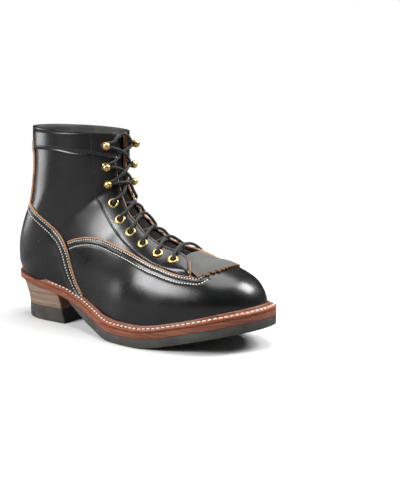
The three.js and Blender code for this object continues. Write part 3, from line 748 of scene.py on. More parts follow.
def wire(tree: bpy.types.NodeTree, node: bpy.types.Node, inputs: dict) -> bpy.types.Node:
    """Set or link a node's inputs.

    Args:
        tree: The node's tree.
        node: The node.
        inputs: A value, or another node's output, for inputs by name or number.

    Returns:
        The node.
    """
    for key, value in inputs.items():
        if isinstance(value, bpy.types.NodeSocket):
            tree.links.new(value, node.inputs[key])
        else:
            node.inputs[key].default_value = value
    return node


def add_node(tree: bpy.types.NodeTree, kind: str, inputs: dict) -> bpy.types.Node:
    """Add a shader node of a kind, with its inputs set or linked."""
    return wire(tree, tree.nodes.new(f"ShaderNode{kind}"), inputs)


def math_node(tree: bpy.types.NodeTree, operation: str, *values: object) -> bpy.types.NodeSocket:
    """Add a math node and give its output."""
    node = add_node(tree, "Math", dict(enumerate(values)))
    node.operation = operation
    return node.outputs[0]


def ramp(nodes: bpy.types.Nodes, stops: Sequence[tuple[float, Sequence[float]]]) -> bpy.types.Node:
    """Add a colour ramp.

    Args:
        nodes: Where the ramp is added.
        stops: Place and colour of each stop.

    Returns:
        The ramp's node.
    """
    node = nodes.new("ShaderNodeValToRGB")
    elements = node.color_ramp.elements
    while len(elements) < len(stops):
        elements.new(0.5)
    for element, (place, colour) in zip(elements, stops):
        element.position = place
        element.color = (*colour[:3], 1.0)
    return node


class Effects:
    """Shader node groups that more than one finish uses, each made once."""

    _made: dict[str, bpy.types.NodeTree] = {}
    pebble_share: float = 0.55

    @classmethod
    def _group(cls, name: str, inputs: dict[str, float], outputs: Sequence[str]) -> bpy.types.NodeTree:
        """Start a node group with float inputs and outputs on Object coordinates.

        Args:
            name: Name of the group.
            inputs: Names and default values of its inputs.
            outputs: Names of its outputs.

        Returns:
            The new node tree with its group input and output nodes.
        """
        tree = bpy.data.node_groups.new(name, "ShaderNodeTree")
        for label, value in inputs.items():
            entry = tree.interface.new_socket(label, in_out="INPUT", socket_type="NodeSocketFloat")
            entry.default_value = value
        for label in outputs:
            tree.interface.new_socket(label, in_out="OUTPUT", socket_type="NodeSocketFloat")
        tree.nodes.new("NodeGroupInput").name = "in"
        tree.nodes.new("NodeGroupOutput").name = "out"
        tree.nodes.new("ShaderNodeTexCoord").name = "place"
        cls._made[name] = tree
        return tree

    @classmethod
    def grain(cls) -> bpy.types.NodeTree:
        """Leather grain: fine pebbles, pores and slow waves.

        Returns:
            A group with inputs Pebble and Wave, in cells a metre, and outputs Height and Cloud.
        """
        if "leather_grain" in cls._made:
            return cls._made["leather_grain"]
        tree = cls._group("leather_grain", {"Pebble": 1100.0, "Wave": 45.0}, ("Height", "Cloud"))
        start, place = tree.nodes["in"].outputs, tree.nodes["place"].outputs["Object"]
        pebble = add_node(tree, "TexVoronoi", {"Vector": place, "Scale": start["Pebble"]})
        pebble.feature = "SMOOTH_F1"
        wave = add_node(tree, "TexNoise", {
            "Detail": 5.0, "Roughness": 0.6, "Vector": place, "Scale": start["Wave"]}).outputs["Fac"]
        height = math_node(tree, "MULTIPLY_ADD", pebble.outputs["Distance"], cls.pebble_share, wave)
        wire(tree, tree.nodes["out"], {"Height": height, "Cloud": wave})
        return tree

    @classmethod
    def scuff(cls) -> bpy.types.NodeTree:
        """Thin scratches and dust.

        Returns:
            A group with input Amount and output Mask.
        """
        if "scuff" in cls._made:
            return cls._made["scuff"]
        tree = cls._group("scuff", {"Amount": 0.3}, ("Mask",))
        stretch = add_node(tree, "Mapping", {
            "Rotation": (0.4, 0.9, 0.3), "Scale": (40.0, 900.0, 900.0),
            "Vector": tree.nodes["place"].outputs["Object"]})
        noise = add_node(tree, "TexNoise", {"Scale": 1.0, "Detail": 3.0, "Vector": stretch.outputs["Vector"]})
        gate = add_node(tree, "MapRange", {"From Min": 0.62, "From Max": 0.8, "Value": noise.outputs["Fac"]})
        mask = math_node(tree, "MULTIPLY", gate.outputs["Result"], tree.nodes["in"].outputs["Amount"])
        wire(tree, tree.nodes["out"], {"Mask": mask})
        return tree

    @classmethod
    def fibre(cls) -> bpy.types.NodeTree:
        """Fibre layers of a cut leather edge or a stack, lying level.

        Returns:
            A group with inputs Layers and Fleck, in bands a metre, and outputs Height and Tone.
        """
        if "cut_fibre" in cls._made:
            return cls._made["cut_fibre"]
        tree = cls._group("cut_fibre", {"Layers": 900.0, "Fleck": 160.0}, ("Height", "Tone"))
        start = tree.nodes["in"].outputs
        split = add_node(tree, "SeparateXYZ", {0: tree.nodes["place"].outputs["Object"]}).outputs
        join = add_node(tree, "CombineXYZ", {
            axis: math_node(tree, "MULTIPLY", split[axis], start[label])
            for axis, label in zip("XYZ", ("Fleck", "Fleck", "Layers"))})
        noise = add_node(tree, "TexNoise", {
            "Scale": 1.0, "Detail": 4.0, "Roughness": 0.65, "Vector": join.outputs[0]}).outputs["Fac"]
        wire(tree, tree.nodes["out"], {"Height": noise, "Tone": noise})
        return tree


Paint = tuple[float, float, float]


@dataclass(frozen=True)
class Finish:
    """A finish of one material: its colours, gloss and the effect that breaks it up."""

    name: str
    dark: Paint
    light: Paint
    roughness: tuple[float, float]
    effect: str = "grain"
    scales: tuple[float, float] = (1100.0, 45.0)
    bump: float = 0.25
    depth: float = 0.00025
    metal: float = 0.0
    coat: float = 0.0
    coat_roughness: float = 0.25
    scuffs: float = 0.0
    worn_gain: float = 3.0
    worn_lift: float = 0.04
    sheen: float = 0.0
    spread: tuple[float, float] = (0.35, 0.65)
    specular: float = 0.5

    def material(self) -> bpy.types.Material:
        """Make the finish's material, once.

        Returns:
            The material.
        """
        found = bpy.data.materials.get(self.name)
        if found:
            return found
        made = bpy.data.materials.new(self.name)
        made.use_nodes = True
        tree = made.node_tree
        effect = tree.nodes.new("ShaderNodeGroup")
        if self.effect == "grain":
            effect.node_tree = Effects.grain()
            labels, tone_name = ("Pebble", "Wave"), "Cloud"
        else:
            effect.node_tree = Effects.fibre()
            labels, tone_name = ("Layers", "Fleck"), "Tone"
        wire(tree, effect, dict(zip(labels, self.scales)))
        tone = effect.outputs[tone_name]
        colour = ramp(tree.nodes, [(self.spread[0], self.dark), (self.spread[1], self.light)])
        paint = wire(tree, colour, {"Fac": tone}).outputs["Color"]
        gloss = add_node(tree, "MapRange", {
            "From Min": self.spread[0], "From Max": self.spread[1],
            "To Min": self.roughness[0], "To Max": self.roughness[1], "Value": tone})
        if self.scuffs > 0:
            scuff = tree.nodes.new("ShaderNodeGroup")
            scuff.node_tree = Effects.scuff()
            wire(tree, scuff, {"Amount": self.scuffs})
            worn = tree.nodes.new("ShaderNodeMix")
            worn.data_type = "RGBA"
            rubbed = [min(1.0, self.worn_gain * c + self.worn_lift) for c in self.light]
            wire(tree, worn, {"B": (*rubbed, 1.0), "Factor": scuff.outputs["Mask"], "A": paint})
            paint = worn.outputs["Result"]
        bump = add_node(tree, "Bump", {
            "Strength": self.bump, "Distance": self.depth, "Height": effect.outputs["Height"]})
        wire(tree, tree.nodes["Principled BSDF"], {
            "Metallic": self.metal, "Coat Weight": self.coat, "Coat Roughness": self.coat_roughness,
            "Sheen Weight": self.sheen, "Specular IOR Level": self.specular, "Base Color": paint,
            "Roughness": gloss.outputs["Result"], "Normal": bump.outputs["Normal"]})
        return made


BLACK_LEATHER = Finish("black_waxed_leather", (0.0045, 0.0047, 0.0052), (0.009, 0.0093, 0.01),
                       (0.25, 0.33), scales=(1300.0, 30.0), bump=0.14, depth=0.0002, coat=0.3, scuffs=0.06)
# Flesh side and lining: dark leather painted light grey, as painted light where the lamps fall on it.
LINING_PAINTED_LIGHT = Finish("lining_painted_light", (0.045, 0.044, 0.041), (0.09, 0.088, 0.084), (0.65, 0.8), bump=0.3,
                specular=0.3)
# Tongue: painted darker than the black leather, as painted shade inside the throat.
TONGUE_PAINTED_SHADE = Finish("tongue_leather_painted_shade", (0.003, 0.003, 0.003), (0.006, 0.006, 0.006), (0.7, 0.85), bump=0.3,
                        specular=0.2)
KILTIE_LEATHER = Finish("matte_kiltie", (0.066, 0.067, 0.061), (0.094, 0.095, 0.089), (0.7, 0.85),
                        scales=(1800.0, 60.0), bump=0.3, sheen=0.2)
RAW_EDGE = Finish("raw_tan_edge", (0.36, 0.16, 0.07), (0.62, 0.31, 0.15), (0.6, 0.75), effect="fibre",
                  scales=(2600.0, 420.0), bump=0.4, depth=0.0002)
# Kiltie's pinked edge: the tan edge painted lighter, as painted light on an edge that faces the toe in shade.
KILTIE_EDGE_PAINTED_LIGHT = Finish("pinked_tan_edge_painted_light", (0.6, 0.3, 0.13), (0.88, 0.5, 0.25), (0.6, 0.75), effect="fibre",
                     scales=(2600.0, 420.0), bump=0.4, depth=0.0002)
WELT_LEATHER = Finish("oiled_welt", (0.22, 0.05, 0.021), (0.45, 0.125, 0.052), (0.35, 0.5), effect="fibre",
                      scales=(700.0, 120.0), bump=0.25)
STORM_LEATHER = Finish("storm_ridge", (0.15, 0.055, 0.03), (0.33, 0.125, 0.07), (0.4, 0.55), effect="fibre",
                       scales=(700.0, 160.0), bump=0.3)
SOLE_LEATHER = Finish("midsole_edge", (0.17, 0.052, 0.029), (0.37, 0.125, 0.068), (0.32, 0.5), effect="fibre",
                      scales=(900.0, 50.0), bump=0.3)
INSOLE_LEATHER = Finish("natural_insole", (0.3, 0.18, 0.1), (0.42, 0.27, 0.16), (0.6, 0.75))
HEEL_LEATHER = Finish("heel_lifts", (0.19, 0.115, 0.08), (0.4, 0.28, 0.2), (0.45, 0.6), effect="fibre",
                      scales=(1100.0, 26.0), bump=0.3, depth=0.0002, spread=(0.3, 0.7))
# Heel breast: painted near black, as painted shade under the arch.
BREAST_PAINTED_SHADE = Finish("heel_breast_painted_shade", (0.012, 0.007, 0.005), (0.03, 0.018, 0.012), (0.4, 0.55), effect="fibre",
                      scales=(1100.0, 40.0))
RUBBER = Finish("moulded_rubber", (0.05, 0.048, 0.043), (0.088, 0.085, 0.077), (0.6, 0.78),
                scales=(2200.0, 90.0), bump=0.3, depth=0.0002, scuffs=0.2)
BRASS = Finish("polished_brass", (0.72, 0.46, 0.14), (0.9, 0.64, 0.28), (0.26, 0.38), scales=(600.0, 200.0),
               bump=0.05, metal=1.0)
PALE_THREAD = Finish("pale_waxed_thread", (0.66, 0.62, 0.53), (0.88, 0.85, 0.77), (0.5, 0.65),
                     scales=(3000.0, 900.0), bump=0.4, depth=0.0001)
BLACK_THREAD = Finish("black_waxed_thread", (0.022, 0.022, 0.022), (0.05, 0.05, 0.05), (0.5, 0.65),
                      scales=(3000.0, 900.0), bump=0.4, depth=0.0001)
LACE_CORD = Finish("round_lace", (0.008, 0.008, 0.008), (0.028, 0.028, 0.028), (0.6, 0.8),
                   scales=(2600.0, 700.0), bump=0.6, depth=0.0004, sheen=0.15)
# grain side, cut edge and flesh side of the black leather pieces; the flesh side is painted light grey as
# painted light
UPPER_FINISHES = (BLACK_LEATHER, RAW_EDGE, LINING_PAINTED_LIGHT)


# Pieces


def add_piece(bm: bmesh.types.BMesh, name: str, finishes: Sequence[Finish],
              replaces: Sequence[str] = ()) -> bpy.types.Object:
    """Turn a bmesh into a piece of the boot.

    Args:
        bm: The mesh, in metres, which is freed.
        name: Name of the piece.
        finishes: Finishes in the order of the faces' material numbers.
        replaces: Nodes of the frame that the piece stands for.

    Returns:
        The new object.
    """
    mesh = bpy.data.meshes.new(name)
    for face in bm.faces:
        face.smooth = True
    bm.to_mesh(mesh)
    bm.free()
    for finish in finishes:
        mesh.materials.append(finish.material())
    piece = bpy.data.objects.new(name, mesh)
    bpy.context.scene.collection.objects.link(piece)
    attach(piece, ROOT)
    if replaces:
        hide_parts(*replaces)
    LOG.info("%s: %d faces", name, len(mesh.polygons))
    return piece


def laid_grid(bm: bmesh.types.BMesh, points: Array) -> list[bmesh.types.BMVert]:
    """Lay a grid over points.

    Args:
        bm: Where the grid is added.
        points: Rows and columns of points, in metres.

    Returns:
        The grid's vertices, row by row.
    """
    rows, columns = points.shape[0] - 1, points.shape[1] - 1
    made = bmesh.ops.create_grid(bm, x_segments=columns, y_segments=rows, size=1.0)["verts"]
    ordered: list[bmesh.types.BMVert] = [None] * len(made)
    for vert in made:
        i = round((vert.co.y + 1) / 2 * rows)
        j = round((vert.co.x + 1) / 2 * columns)
        ordered[i * (columns + 1) + j] = vert
    for vert, co in zip(ordered, points.reshape(-1, 3)):
        vert.co = co
    return ordered


def doubled(bm: bmesh.types.BMesh) -> list[bmesh.types.BMVert]:
    """Extrude every face into a closed shell, and give the new side's vertices, which lie on the old."""
    made = bmesh.ops.extrude_face_region(bm, geom=bm.faces[:], use_keep_orig=True)["geom"]
    return [item for item in made if isinstance(item, bmesh.types.BMVert)]


def round_off(bm: bmesh.types.BMesh, edges: list[bmesh.types.BMEdge], radius: float, segments: int) -> None:
    """Round edges off by a radius in millimetres."""
    bmesh.ops.bevel(bm, geom=edges, offset=radius * MM, offset_type="OFFSET", segments=segments,
                    profile=0.5, affect="EDGES", material=-1, clamp_overlap=True)


@dataclass
class LeatherPiece:
    """A piece of leather cut to patches of the last, with a real thickness."""

    last: Last
    name: str
    inner: float
    outer: float
    edge_round: float = 0.3
    skive: float = 1.15
    slant_share: float = 0.72
    slant_power: float = 1.4
    # relief under which the flesh side sinks too, so that the leather keeps its thickness
    sunk: float = -0.6

    def __post_init__(self) -> None:
        """Start the mesh and its layers."""
        self.bm = bmesh.new()
        self.s_layer = self.bm.verts.layers.float.new("section")
        self.t_layer = self.bm.verts.layers.float.new("girth")
        self.r_layer = self.bm.verts.layers.float.new("relief")
        self.raw_layer = self.bm.verts.layers.float.new("raw")
        self.in_layer = self.bm.verts.layers.int.new("inside")

    def lay(self, st: Array, relief: Array | None = None, raw: Array | None = None) -> None:
        """Lay one patch.

        Args:
            st: Grid of places on the last.
            relief: Height over the piece's outer face at each place, if any.
            raw: Distance from a raw edge at each place, if it has one: the edge is cut at a slant.
        """
        extra = np.zeros(st.shape[:2]) if relief is None else relief
        edge = np.full(st.shape[:2], FAR) if raw is None else np.broadcast_to(raw, st.shape[:2])
        cut = np.clip(1 - edge / self.skive, 0, 1) ** self.slant_power
        slant = (self.outer - self.inner) * self.slant_share * cut
        verts = laid_grid(self.bm, self.last.place(self.last.at(st, self.outer + extra - slant)))
        layers = zip(verts, st.reshape(-1, 2), extra.reshape(-1), edge.reshape(-1))
        for vert, (s, t), r, away in layers:
            vert[self.s_layer], vert[self.t_layer] = s, t
            vert[self.r_layer], vert[self.raw_layer] = r, away

    def punch(self, centres: Array, radius: float) -> None:
        """Cut holes.

        Args:
            centres: Middles of the holes, in metres.
            radius: Radius of the holes, in metres.
        """
        gone = [
            face for face in self.bm.faces
            if (np.linalg.norm(centres - np.array(face.calc_center_median()), axis=1) < radius).any()
        ]
        bmesh.ops.delete(self.bm, geom=gone, context="FACES")

    def close(self, edge: Callable[[float, float], bool]) -> bmesh.types.BMesh:
        """Weld the patches and give them their thickness.

        Args:
            edge: Says whether the cut edge at a section row and girth shows raw leather.

        Returns:
            The finished mesh, with its faces' material numbers set.
        """
        bm = self.bm
        bmesh.ops.remove_doubles(bm, verts=bm.verts, dist=0.02 * MM)
        bmesh.ops.dissolve_degenerate(bm, edges=bm.edges, dist=0.005 * MM)
        inner = doubled(bm)
        st = np.array([(v[self.s_layer], v[self.t_layer]) for v in inner])
        relief = np.array([v[self.r_layer] for v in inner])
        keep = np.where(relief < self.sunk, relief, np.maximum(relief, 0.0))
        for vert, co in zip(inner, self.last.place(self.last.at(st, self.inner + keep))):
            vert.co = co
            vert[self.in_layer] = 1
        bmesh.ops.recalc_face_normals(bm, faces=bm.faces[:])
        rims = set()
        for face in bm.faces:
            inside = [vert[self.in_layer] for vert in face.verts]
            s, t, away = (
                sum(vert[layer] for vert in face.verts) / len(face.verts)
                for layer in (self.s_layer, self.t_layer, self.raw_layer))
            if all(inside):
                face.material_index = Face.FLESH.value
                continue
            if any(inside):
                rims.add(face)
            shown_raw = edge(s, t) if any(inside) else away < self.skive
            face.material_index = Face.EDGE.value if shown_raw else Face.GRAIN.value
        corners = [
            e for e in bm.edges
            if not (e.verts[0][self.in_layer] or e.verts[1][self.in_layer])
            and len(e.link_faces) == 2
            and (e.link_faces[0] in rims) != (e.link_faces[1] in rims)
        ]
        if self.edge_round > 0 and corners:
            round_off(bm, corners, self.edge_round, 2)
        return bm


def mirrored(st: Array) -> Array:
    """Turn places of the lateral side into the same places of the medial side, in the same order."""
    other = np.array(st)
    other[..., 1] = 2 - other[..., 1]
    return other


@dataclass
class Throat:
    """The opening for the lacing, and where the hardware stands along it."""

    last: Last
    end_row: float = 3.3
    half: float = 7.6
    foot_half: float = 14.2
    end_radius: float = 9.0
    inset: float = 12.0
    band_lift: float = 1.85
    hole_radius: float = 2.6
    eyelet_rows: tuple[float, ...] = (4.04, 4.75, 5.57, 6.42, 7.4, 8.4)
    hook_rows: tuple[float, ...] = (10.65, 12.45, 14.2)
    facing_lift: float = 3.0
    facing_join: float = 3.98
    row_length: float = 20.0
    # the lift fades out over these distances behind the front end, and in over these girths at its corner
    lift_fade: tuple[float, float] = (3.0, 26.0)
    lift_corner: tuple[float, float] = (0.585, 0.66)
    # section row and girth of the facing's cut front end
    facing_end: tuple[tuple[float, float], ...] = (
        (2.84, 0.589), (2.95, 0.628), (3.1, 0.68), (3.22, 0.73), (3.34, 0.775), (3.5, 0.812), (3.71, 0.841))
    widths: tuple[tuple[float, float], ...] = (
        (3.3, 1.0), (5.0, 1.0), (6.8, 0.62), (8.0, 0.25), (9.5, 0.0), (15.6, 0.0))

    def half_width(self, s: Array) -> Array:
        """Work out the throat's half width, 0 at its round foot.

        Args:
            s: Section rows.

        Returns:
            The half width at each row, in millimetres.
        """
        s = np.asarray(s, float)
        ridge, end = self.last.lookup(paired(s, 1.0)), self.last.lookup(paired(self.end_row, 1.0))
        away = np.where(s < self.end_row, 0.0, np.linalg.norm(ridge - end, axis=-1))
        return self.spread(s) * end_round(away, self.end_radius, 2.0)

    def spread(self, s: Array) -> Array:
        """Half width between the narrow top of the throat and its wide foot, without the round foot."""
        return self.half + (self.foot_half - self.half) * monotone(*zip(*self.widths))(s)

    def rise(self, rows: Array, girth: Array) -> Array:
        """Lift the facing's front end over the kiltie, fading into the quarter.

        Args:
            rows: Section rows.
            girth: Girths, as on the lateral side.

        Returns:
            The lift at each place, in millimetres.
        """
        front, share = zip(*self.facing_end, (4.4, 0.9))
        start = np.interp(girth, share, front)
        back = 1 - smoothstep((rows - start) * self.row_length, *self.lift_fade)
        return self.facing_lift * back * smoothstep(girth, *self.lift_corner)

    def station(self, index: int, side: Side, inset: float | None = None) -> tuple[float, float]:
        """Place of an eyelet or hook, counted from the foot of the throat up.

        Args:
            index: 0 to 5 for the eyelets, 6 to 8 for the hooks.
            side: Which side.
            inset: Distance from the throat's edge, if not the usual one.

        Returns:
            Section row and girth.
        """
        rows = (*self.eyelet_rows, *self.hook_rows)
        s = rows[index]
        away = float(self.half_width(np.array(s))) + (self.inset if inset is None else inset)
        return s, float(self.last.from_ridge(s, side.value * away))


@dataclass
class Upper:
    """The lasted upper, its overlays, tongue and kiltie."""

    last: Last
    throat: Throat
    wall: float = 2.2
    layer: float = 1.5
    gap: float = 0.35
    step: float = 1.5
    seam_step: float = 1.2
    height: float = 174.7
    # half width and depth of the line that a black stitch row pulls into the leather
    seam_groove: tuple[float, float] = (0.6, 0.4)
    pale_pitch: float = 2.75
    # how far under the rim, in section rows, the raw throat edge and the rim's stitches end
    rim_margin: float = 0.05
    lap_height: float = 1.5
    backstay_rows: tuple[float, float] = (12.55, 14.74)
    backstay_sewn: float = 13.05
    backstay_seam: float = 2.4
    band_step: float = 0.8
    tongue_margin: float = 9.0
    # borders in side view, as shares of the sole's length and of the upper's height over the sole
    vamp_border: tuple[tuple[float, float], ...] = (
        (0.785, 0.259), (0.76, 0.273), (0.72, 0.301), (0.69, 0.322), (0.655, 0.343), (0.622, 0.362),
        (0.59, 0.379), (0.562, 0.393), (0.538, 0.402), (0.515, 0.409), (0.49, 0.413), (0.466, 0.414),
        (0.44, 0.411), (0.413, 0.404), (0.387, 0.391), (0.363, 0.374), (0.344, 0.357), (0.325, 0.341),
        (0.31, 0.325), (0.296, 0.309))
    counter_border: tuple[tuple[float, float], ...] = (
        (0.3705, 0.0), (0.367, 0.048), (0.359, 0.069), (0.349, 0.091), (0.338, 0.126), (0.328, 0.162),
        (0.322, 0.187), (0.316, 0.211), (0.31, 0.238), (0.302, 0.265), (0.292, 0.287), (0.28, 0.308),
        (0.265, 0.328), (0.247, 0.346), (0.227, 0.366), (0.206, 0.385), (0.175, 0.407), (0.144, 0.427),
        (0.105, 0.442), (0.067, 0.45), (0.045, 0.452))
    # section row of the foot under each section row of the border
    vamp_foot: tuple[tuple[float, float], ...] = (
        (2.3, 2.3), (2.72, 2.6), (4.18, 3.8), (5.73, 4.95), (6.95, 5.8), (8.1, 6.5), (8.95, 7.25),
        (9.4, 7.5))
    counter_foot: tuple[tuple[float, float], ...] = (
        (6.7, 6.75), (6.95, 7.0), (7.2, 7.25), (7.55, 7.6), (7.87, 7.95), (8.26, 8.3), (8.73, 8.65),
        (9.4, 9.05), (10.1, 9.4), (10.92, 9.65), (11.6, 9.8), (12.19, 9.89), (12.62, 9.96),
        (12.86, 9.99), (13.0, 10.0))
    # section row and girth of the band's lower edge, from the throat round to the back seam
    band_edge: tuple[tuple[float, float], ...] = (
        (12.86, 0.945), (13.16, 0.879), (13.68, 0.779), (14.1, 0.66), (14.41, 0.534), (14.53, 0.38),
        (14.57, 0.2), (14.58, 0.0))
    facing_end_seam: tuple[tuple[float, float], ...] = (
        (4.1, 0.832), (3.82, 0.82), (3.6, 0.79), (3.44, 0.752), (3.3, 0.7), (3.16, 0.648), (3.02, 0.603))
    facing_line: tuple[tuple[float, float], ...] = (
        (3.02, 0.603), (4.02, 0.627), (4.76, 0.643), (5.48, 0.667), (6.14, 0.688), (6.89, 0.711),
        (8.17, 0.766), (9.1, 0.789), (10.1, 0.81), (11.27, 0.824), (12.67, 0.806), (13.67, 0.784),
        (14.9, 0.775))
    # distances of the two pale stitch rows from the overlays' edge
    stitch_rows: tuple[float, float] = (2.7, 8.0)
    facing_seam: float = 2.6
    # distances of the mesh's rows from an overlay's edge
    near_rows: tuple[float, ...] = (
        0.0, 0.35, 0.75, 1.15, 1.6, 2.1, 2.7, 3.3, 4.2, 5.3, 6.4, 7.3, 8.0, 8.7, 9.7, 11.2, 13.0)

    @property
    def outside(self) -> float:
        """Offset of the overlays' outer face."""
        return self.gap + self.layer

    def _border(self, side: Side, table: Sequence[tuple[float, float]]) -> Array:
        """Find a border's places on one side of the last."""
        along, height = np.array(table).T
        x = along * self.last.sole.length
        z = self.last.sole.top(x) + self.gap + height * self.height
        return self.last.found(side, np.stack([x, z], axis=1))

    def _seam_relief(self, distance: Array) -> Array:
        """Depth of the leather pulled down along the two stitch rows, with the roll between them."""
        pulled = sum(-0.4 * bell(distance - row, 0.7) for row in self.stitch_rows)
        return pulled + 0.15 * bell(distance - sum(self.stitch_rows) / 2, 1.2)

    def _ruled(self, side: Side, edge: Array, foot_rows: Sequence[tuple[float, float]], rows: int,
               seamed: bool) -> tuple[Array, Array]:
        """Fill the leather between an edge and the foot.

        Args:
            side: Which side it lies on.
            edge: Places along the edge.
            foot_rows: Section row of the foot against the edge's.
            rows: How many rows lie under those near the edge.
            seamed: Whether the last column follows the back seam.

        Returns:
            The grid of places, from the edge down, and each one's distance from the edge.
        """
        near = [self.last.inset(edge, d) for d in self.near_rows]
        feather = 1.0 + side.value
        foot = paired(monotone(*zip(*foot_rows))(edge[:, 0]), feather)
        low, high = self.last.lookup(foot), self.last.lookup(near[-1])
        far = [self.last.nearest(high + (low - high) * (k / rows), edge[:, 1]) for k in range(1, rows)]
        st = np.array([*near, *far, foot])
        if seamed:
            st[:, -1, 1] = feather
            st[:, -1, 0] = np.minimum(st[:, -1, 0], st[0, -1, 0])
        st[..., 1] = np.clip(st[..., 1], 0.0, 2.0)
        point = self.last.lookup(st)
        step = np.linalg.norm(np.diff(point[len(near) - 1 :], axis=0), axis=2)
        beyond = self.near_rows[-1] + np.cumsum(step, axis=0)
        return st, np.concatenate([np.repeat(np.array(self.near_rows)[:, None], len(edge), axis=1), beyond])

    def _facing_edge(self, rows: Array) -> Array:
        """Measure from the ridge to the facing's cut edge, along the throat and round its front end.

        Args:
            rows: Section rows.

        Returns:
            The distance at each row, in millimetres.
        """
        front, girth = zip(*self.throat.facing_end)
        half = self.last.girth(rows, Side.LATERAL)
        join = self.throat.facing_join
        join_share = float(1 - self.throat.half_width(np.array(join)) / np.interp(join, rows, half))
        curve = monotone((*front, join), (*girth, join_share))(rows)
        return np.where(rows < join, (1 - curve) * half, self.throat.half_width(rows))

    def build_upper(self) -> None:
        """Make the quarters with their facings, and the toe under them, open at collar, throat and foot."""
        piece = LeatherPiece(self.last, "upper_leather", -self.wall, 0.0, edge_round=0.0)
        collar = float(self.last.collar)
        front = self.throat.facing_end[0][0]
        rows = np.concatenate([np.linspace(front, 4.2, 44), np.linspace(4.2, collar, 170)[1:]])
        edge_mm = self._facing_edge(rows)
        line = monotone(*zip((front, 0.56), *self.facing_line))(rows)
        near = np.array(self.near_rows[:9])
        girths = self.last.girth(rows, Side.LATERAL)
        edge_t = 1 - edge_mm / girths
        width = (edge_t - line) * girths
        squeeze = np.minimum(width / 12.0, 1.0)[:, None]
        close = near[None] * squeeze
        open_width = width[:, None] - 2.0 * squeeze - close[:, -1:]
        middle = close[:, -1:] + open_width * np.linspace(0, 1, 10)[None, 1:]
        about = width[:, None] + np.array([-1.3, -0.7, 0.0, 0.7, 1.3, 2.2])[None] * squeeze
        away = np.concatenate([close, middle, about], axis=1)
        near_t = edge_t[:, None] - away / girths[:, None]
        rest = near_t[:, -1:] * (1 - np.linspace(0, 1, 40)[None, 1:])
        t = np.concatenate([near_t, rest], axis=1)
        raw = np.concatenate([away, np.full(rest.shape, FAR)], axis=1)
        raw = np.where(rows[:, None] > collar - self.rim_margin, FAR, raw)
        lateral = paired(rows[:, None], t)
        relief = self.throat.rise(lateral[..., 0], t)
        for seam in (self.last.path(self.facing_line, self.seam_step), self._facing_seam()):
            relief = relief + self.last.groove(lateral, seam, *self.seam_groove)
        medial = mirrored(lateral)
        medial_edge = self.last.from_ridge(rows, edge_mm)
        stretch = (2 - medial_edge) / edge_t
        medial[..., 1] = 2 - t * stretch[:, None]
        piece.lay(lateral, relief, raw)
        piece.lay(medial, relief, raw)
        toe_rows = np.concatenate([1 - np.cos(np.linspace(0, math.pi / 2, 14)), np.linspace(1, 3.9, 34)[1:]])
        across = np.linspace(0, 2, 97)
        toe = paired(toe_rows[:, None], across)
        sink = -1.2 * smoothstep(toe[..., 0], 2.55, front) - 1.8 * smoothstep(toe[..., 0], 3.1, 3.6)
        piece.lay(toe, sink)
        places = [self.throat.station(i, side) for i in range(6) for side in Side]
        lifts = np.array([self.throat.rise(np.array(s), np.array(1 - abs(t - 1))) for s, t in places])
        piece.punch(self.last.place(self.last.at(np.array(places), lifts)), self.throat.hole_radius * MM)
        bm = piece.close(lambda s, t: s < collar - self.rim_margin and abs(t - 1) < 0.46)
        add_piece(bm, "upper_leather", UPPER_FINISHES, ["upper"])

    def _facing_seam(self) -> Array:
        """Line of the stitches along the throat and round the facing's front end."""
        rows = np.linspace(self.last.collar - 0.12, 4.5, 60)
        edge = self.last.from_ridge(rows, -(self.throat.half_width(rows) + self.facing_seam))
        return self.last.path([*paired(rows, edge), *self.facing_end_seam], self.seam_step)

    def build_vamp(self) -> None:
        """Make the overlay over toe and forefoot."""
        piece = LeatherPiece(self.last, "vamp_leather", self.gap, self.outside, edge_round=0.0)
        runs = []
        for side in Side:
            border = self._border(side, self.vamp_border)
            front = np.array([(2.45, 1 + side.value * 0.34), (2.53, 1 + side.value * 0.39)])
            edge = self.last.path(np.concatenate([front, border]), self.step)
            st, distance = self._ruled(side, edge, self.vamp_foot, 34, seamed=False)
            relief = self._seam_relief(distance)
            piece.lay(st, relief, distance)
            start = st[0, 0, 0]
            rows = np.concatenate([
                1 - np.cos(np.linspace(0, math.pi / 2, 22)), np.linspace(1, start, 26)[1:]])
            first = st[::-1, 0]
            top = np.linspace(first[-1, 1], 1.0, 22)[1:]
            girths = np.concatenate([first[:, 1], top])
            fade = smoothstep(rows, start - 0.25, start)[:, None]
            toe_relief = np.concatenate([relief[::-1, 0], np.zeros(len(top))])[None] * fade
            skew = np.concatenate([first[:, 0] - start, np.zeros(len(top))])
            toe = paired(rows[:, None] + skew[None] * smoothstep(rows, 0.0, start)[:, None], girths)
            toe_raw = np.concatenate([distance[::-1, 0], np.full(len(top), FAR)])[None]
            piece.lay(toe, toe_relief, np.where(fade > 0.999, toe_raw, FAR))
            runs += [(edge, row) for row in self.stitch_rows]
        bm = piece.close(lambda s, t: 0.3 < t < 1.7 and s > 2.2)
        add_piece(bm, "vamp_leather", UPPER_FINISHES, ["vamp"])
        self._stitches("vamp_stitches", runs, self.pale_pitch, PALE_THREAD)

    def _lap(self, s: Array, distance: Array) -> Array:
        """Lift of the counter cover where it lies over the vamp."""
        return self.lap_height * (1 - smoothstep(s, 8.2, 9.2)) * (1 - smoothstep(distance, 9.0, 24.0))

